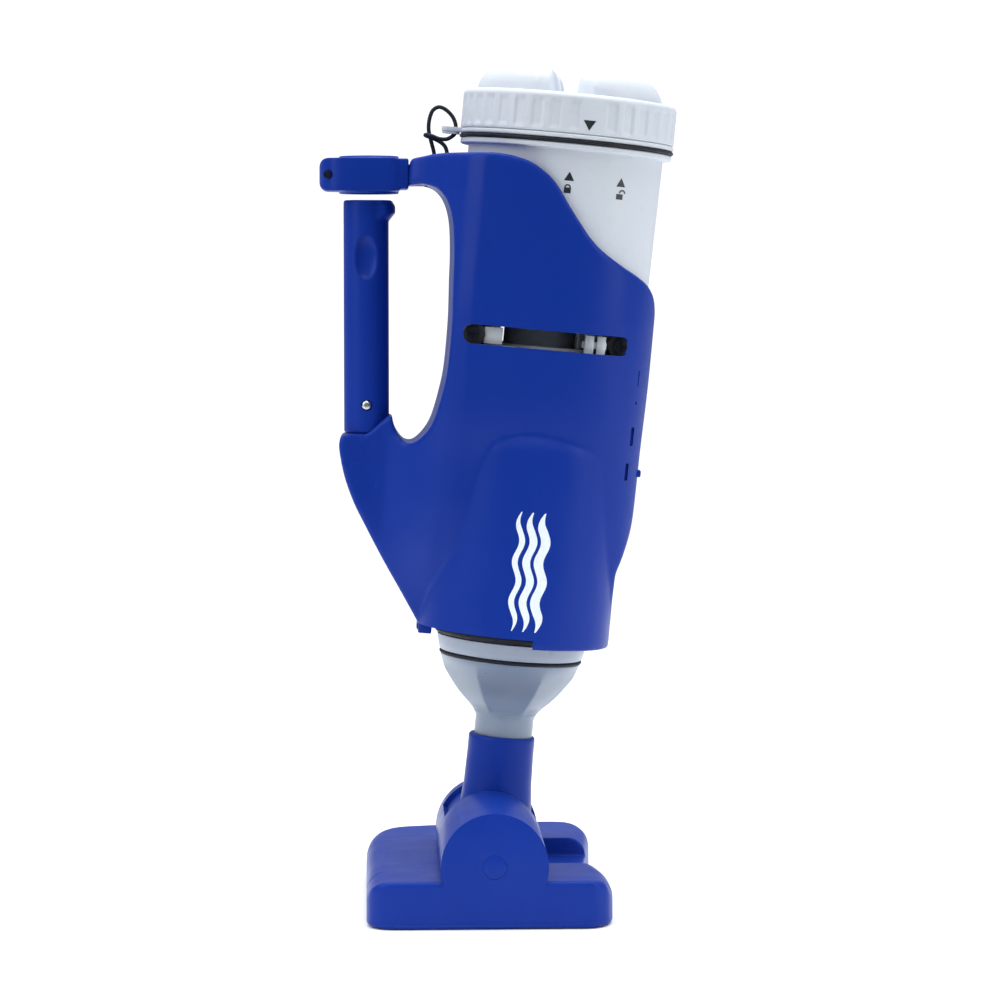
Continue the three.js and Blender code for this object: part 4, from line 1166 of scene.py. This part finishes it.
# ---------------- carried-over CAD nodes
# The slot and ring screws take the steel darkened with the painted shade of their recesses.
CAD_FINISH = {
    "slot_screw_left": DARK_STEEL, "slot_screw_right": DARK_STEEL, "ring_screw": DARK_STEEL,
    "snap_spring": STEEL, "battery_cradle": DARK, "charge_socket": BLACK, "motor": MOTOR_STEEL,
    "motor_shaft": STEEL, "shaft_seal": BLACK, "impeller": DARK, "pump_housing": PALE,
    "filter_frame": COLLAR_GREY, "flap_valve": BLACK, "flap_pin": STEEL,
}


def smooth_by_angle(degrees):
    """A node group for a modifier: smooth shading, with a crease where faces turn further."""
    group = bpy.data.node_groups.new("smooth_by_angle", "GeometryNodeTree")
    for side in ("INPUT", "OUTPUT"):
        group.interface.new_socket("Geometry", in_out=side, socket_type="NodeSocketGeometry")
    start, finish, faces, edges, turn, gentle = (group.nodes.new(kind) for kind in (
        "NodeGroupInput", "NodeGroupOutput", "GeometryNodeSetShadeSmooth",
        "GeometryNodeSetShadeSmooth", "GeometryNodeInputMeshEdgeAngle", "FunctionNodeCompare"))
    edges.domain = "EDGE"
    gentle.operation = "LESS_EQUAL"
    gentle.inputs["B"].default_value = math.radians(degrees)
    for source, target in (
        (start.outputs[0], faces.inputs["Geometry"]), (faces.outputs[0], edges.inputs["Geometry"]),
        (turn.outputs["Unsigned Angle"], gentle.inputs["A"]),
        (gentle.outputs[0], edges.inputs["Shade Smooth"]), (edges.outputs[0], finish.inputs[0]),
    ):
        group.links.new(source, target)
    return group


def finish_cad_nodes():
    """Each node gets its look from its own material slot and modifiers; its mesh stays as packed."""
    for number in range(1, 7):
        CAD_FINISH[f"battery_cell_{number}"] = CELL
    for number in range(1, 5):
        CAD_FINISH[f"sole_screw_{number}"] = STEEL
    shading = smooth_by_angle(35)
    for name, material in CAD_FINISH.items():
        node = frame["nodes"][name]
        node.material_slots[0].link = "OBJECT"
        node.material_slots[0].material = material
        node.modifiers.new("shading", "NODES").node_group = shading
        add_bevel(node, 0.0002, 2, 40)


# ---------------- studio
def area_light(name, place, target, size, power):
    data = bpy.data.lights.new(name, "AREA")
    data.shape = "RECTANGLE"
    data.size, data.size_y = size
    data.energy = power
    light = bpy.data.objects.new(name, data)
    light.location = place
    light.rotation_euler = (Vector(target) - Vector(place)).to_track_quat("-Z", "Y").to_euler()
    scene.collection.objects.link(light)


def make_studio():
    scene.view_settings.view_transform = "Standard"
    floor = slab_z(rounded_rect(-2200, 2200, -700, 2600, 400), -20, 0, "floor")
    floor.data.transform(Matrix.Translation((0, 0, -0.0003)) @ TO_METRES)
    shader = Shader("pale_floor", (0.93, 0.93, 0.93), 0.9)
    shader.set("Specular IOR Level", 0.1)
    shader.tint(shader.noise(3, 3), (0.95, 0.95, 0.95), 0, 1)
    floor.data.materials.append(shader.material)

    world = bpy.data.worlds.new("studio")
    world.use_nodes = True
    scene.world = world
    nodes, links = world.node_tree.nodes, world.node_tree.links
    nodes.clear()
    way = nodes.new("ShaderNodeTexCoord").outputs["Generated"]
    split = nodes.new("ShaderNodeSeparateXYZ")
    links.new(way, split.inputs[0])
    total = None
    for axis, start, end, low, high in ((1, -0.1, 0.9, 0.10, 0.42), (2, 0.25, 1.0, 0.0, 1.6)):
        step = nodes.new("ShaderNodeMapRange")
        step.interpolation_type = "SMOOTHSTEP"
        for socket, value in zip(("From Min", "From Max", "To Min", "To Max"),
                                 (start, end, low, high)):
            step.inputs[socket].default_value = value
        links.new(split.outputs[axis], step.inputs["Value"])
        if total is None:
            total = step.outputs["Result"]
        else:
            add = nodes.new("ShaderNodeMath")
            links.new(total, add.inputs[0])
            links.new(step.outputs["Result"], add.inputs[1])
            total = add.outputs[0]
    room = nodes.new("ShaderNodeBackground")
    room.inputs["Color"].default_value = (0.93, 0.97, 1, 1)
    links.new(total, room.inputs["Strength"])
    backdrop = nodes.new("ShaderNodeBackground")
    backdrop.inputs["Color"].default_value = (1, 1, 1, 1)
    backdrop.inputs["Strength"].default_value = 1.1
    path = nodes.new("ShaderNodeLightPath")
    mix = nodes.new("ShaderNodeMixShader")
    links.new(path.outputs["Is Camera Ray"], mix.inputs[0])
    links.new(room.outputs[0], mix.inputs[1])
    links.new(backdrop.outputs[0], mix.inputs[2])
    output = nodes.new("ShaderNodeOutputWorld")
    links.new(mix.outputs[0], output.inputs["Surface"])

    area_light("left_softbox", (-1.5, -1.0, 1.1), (0, 0, 0.25), (1.0, 1.4), 15)
    area_light("right_softbox", (1.7, -0.7, 0.8), (0, 0, 0.25), (0.8, 1.4), 12)
    area_light("top_softbox", (0.1, 0.1, 1.8), (0, 0, 0), (1.6, 1.2), 20)


# ---------------- build
make_camera()
make_tether()
make_studio()
shell_front = make_housing()
pod_tube = make_pod()
make_seal()
cap_shell = make_cap()
make_marks(shell_front, pod_tube, cap_shell)
make_slot_posts()
make_ring()
make_grip()
make_button()
make_nose()
make_filter()
make_neck()
make_head()
finish_cad_nodes()
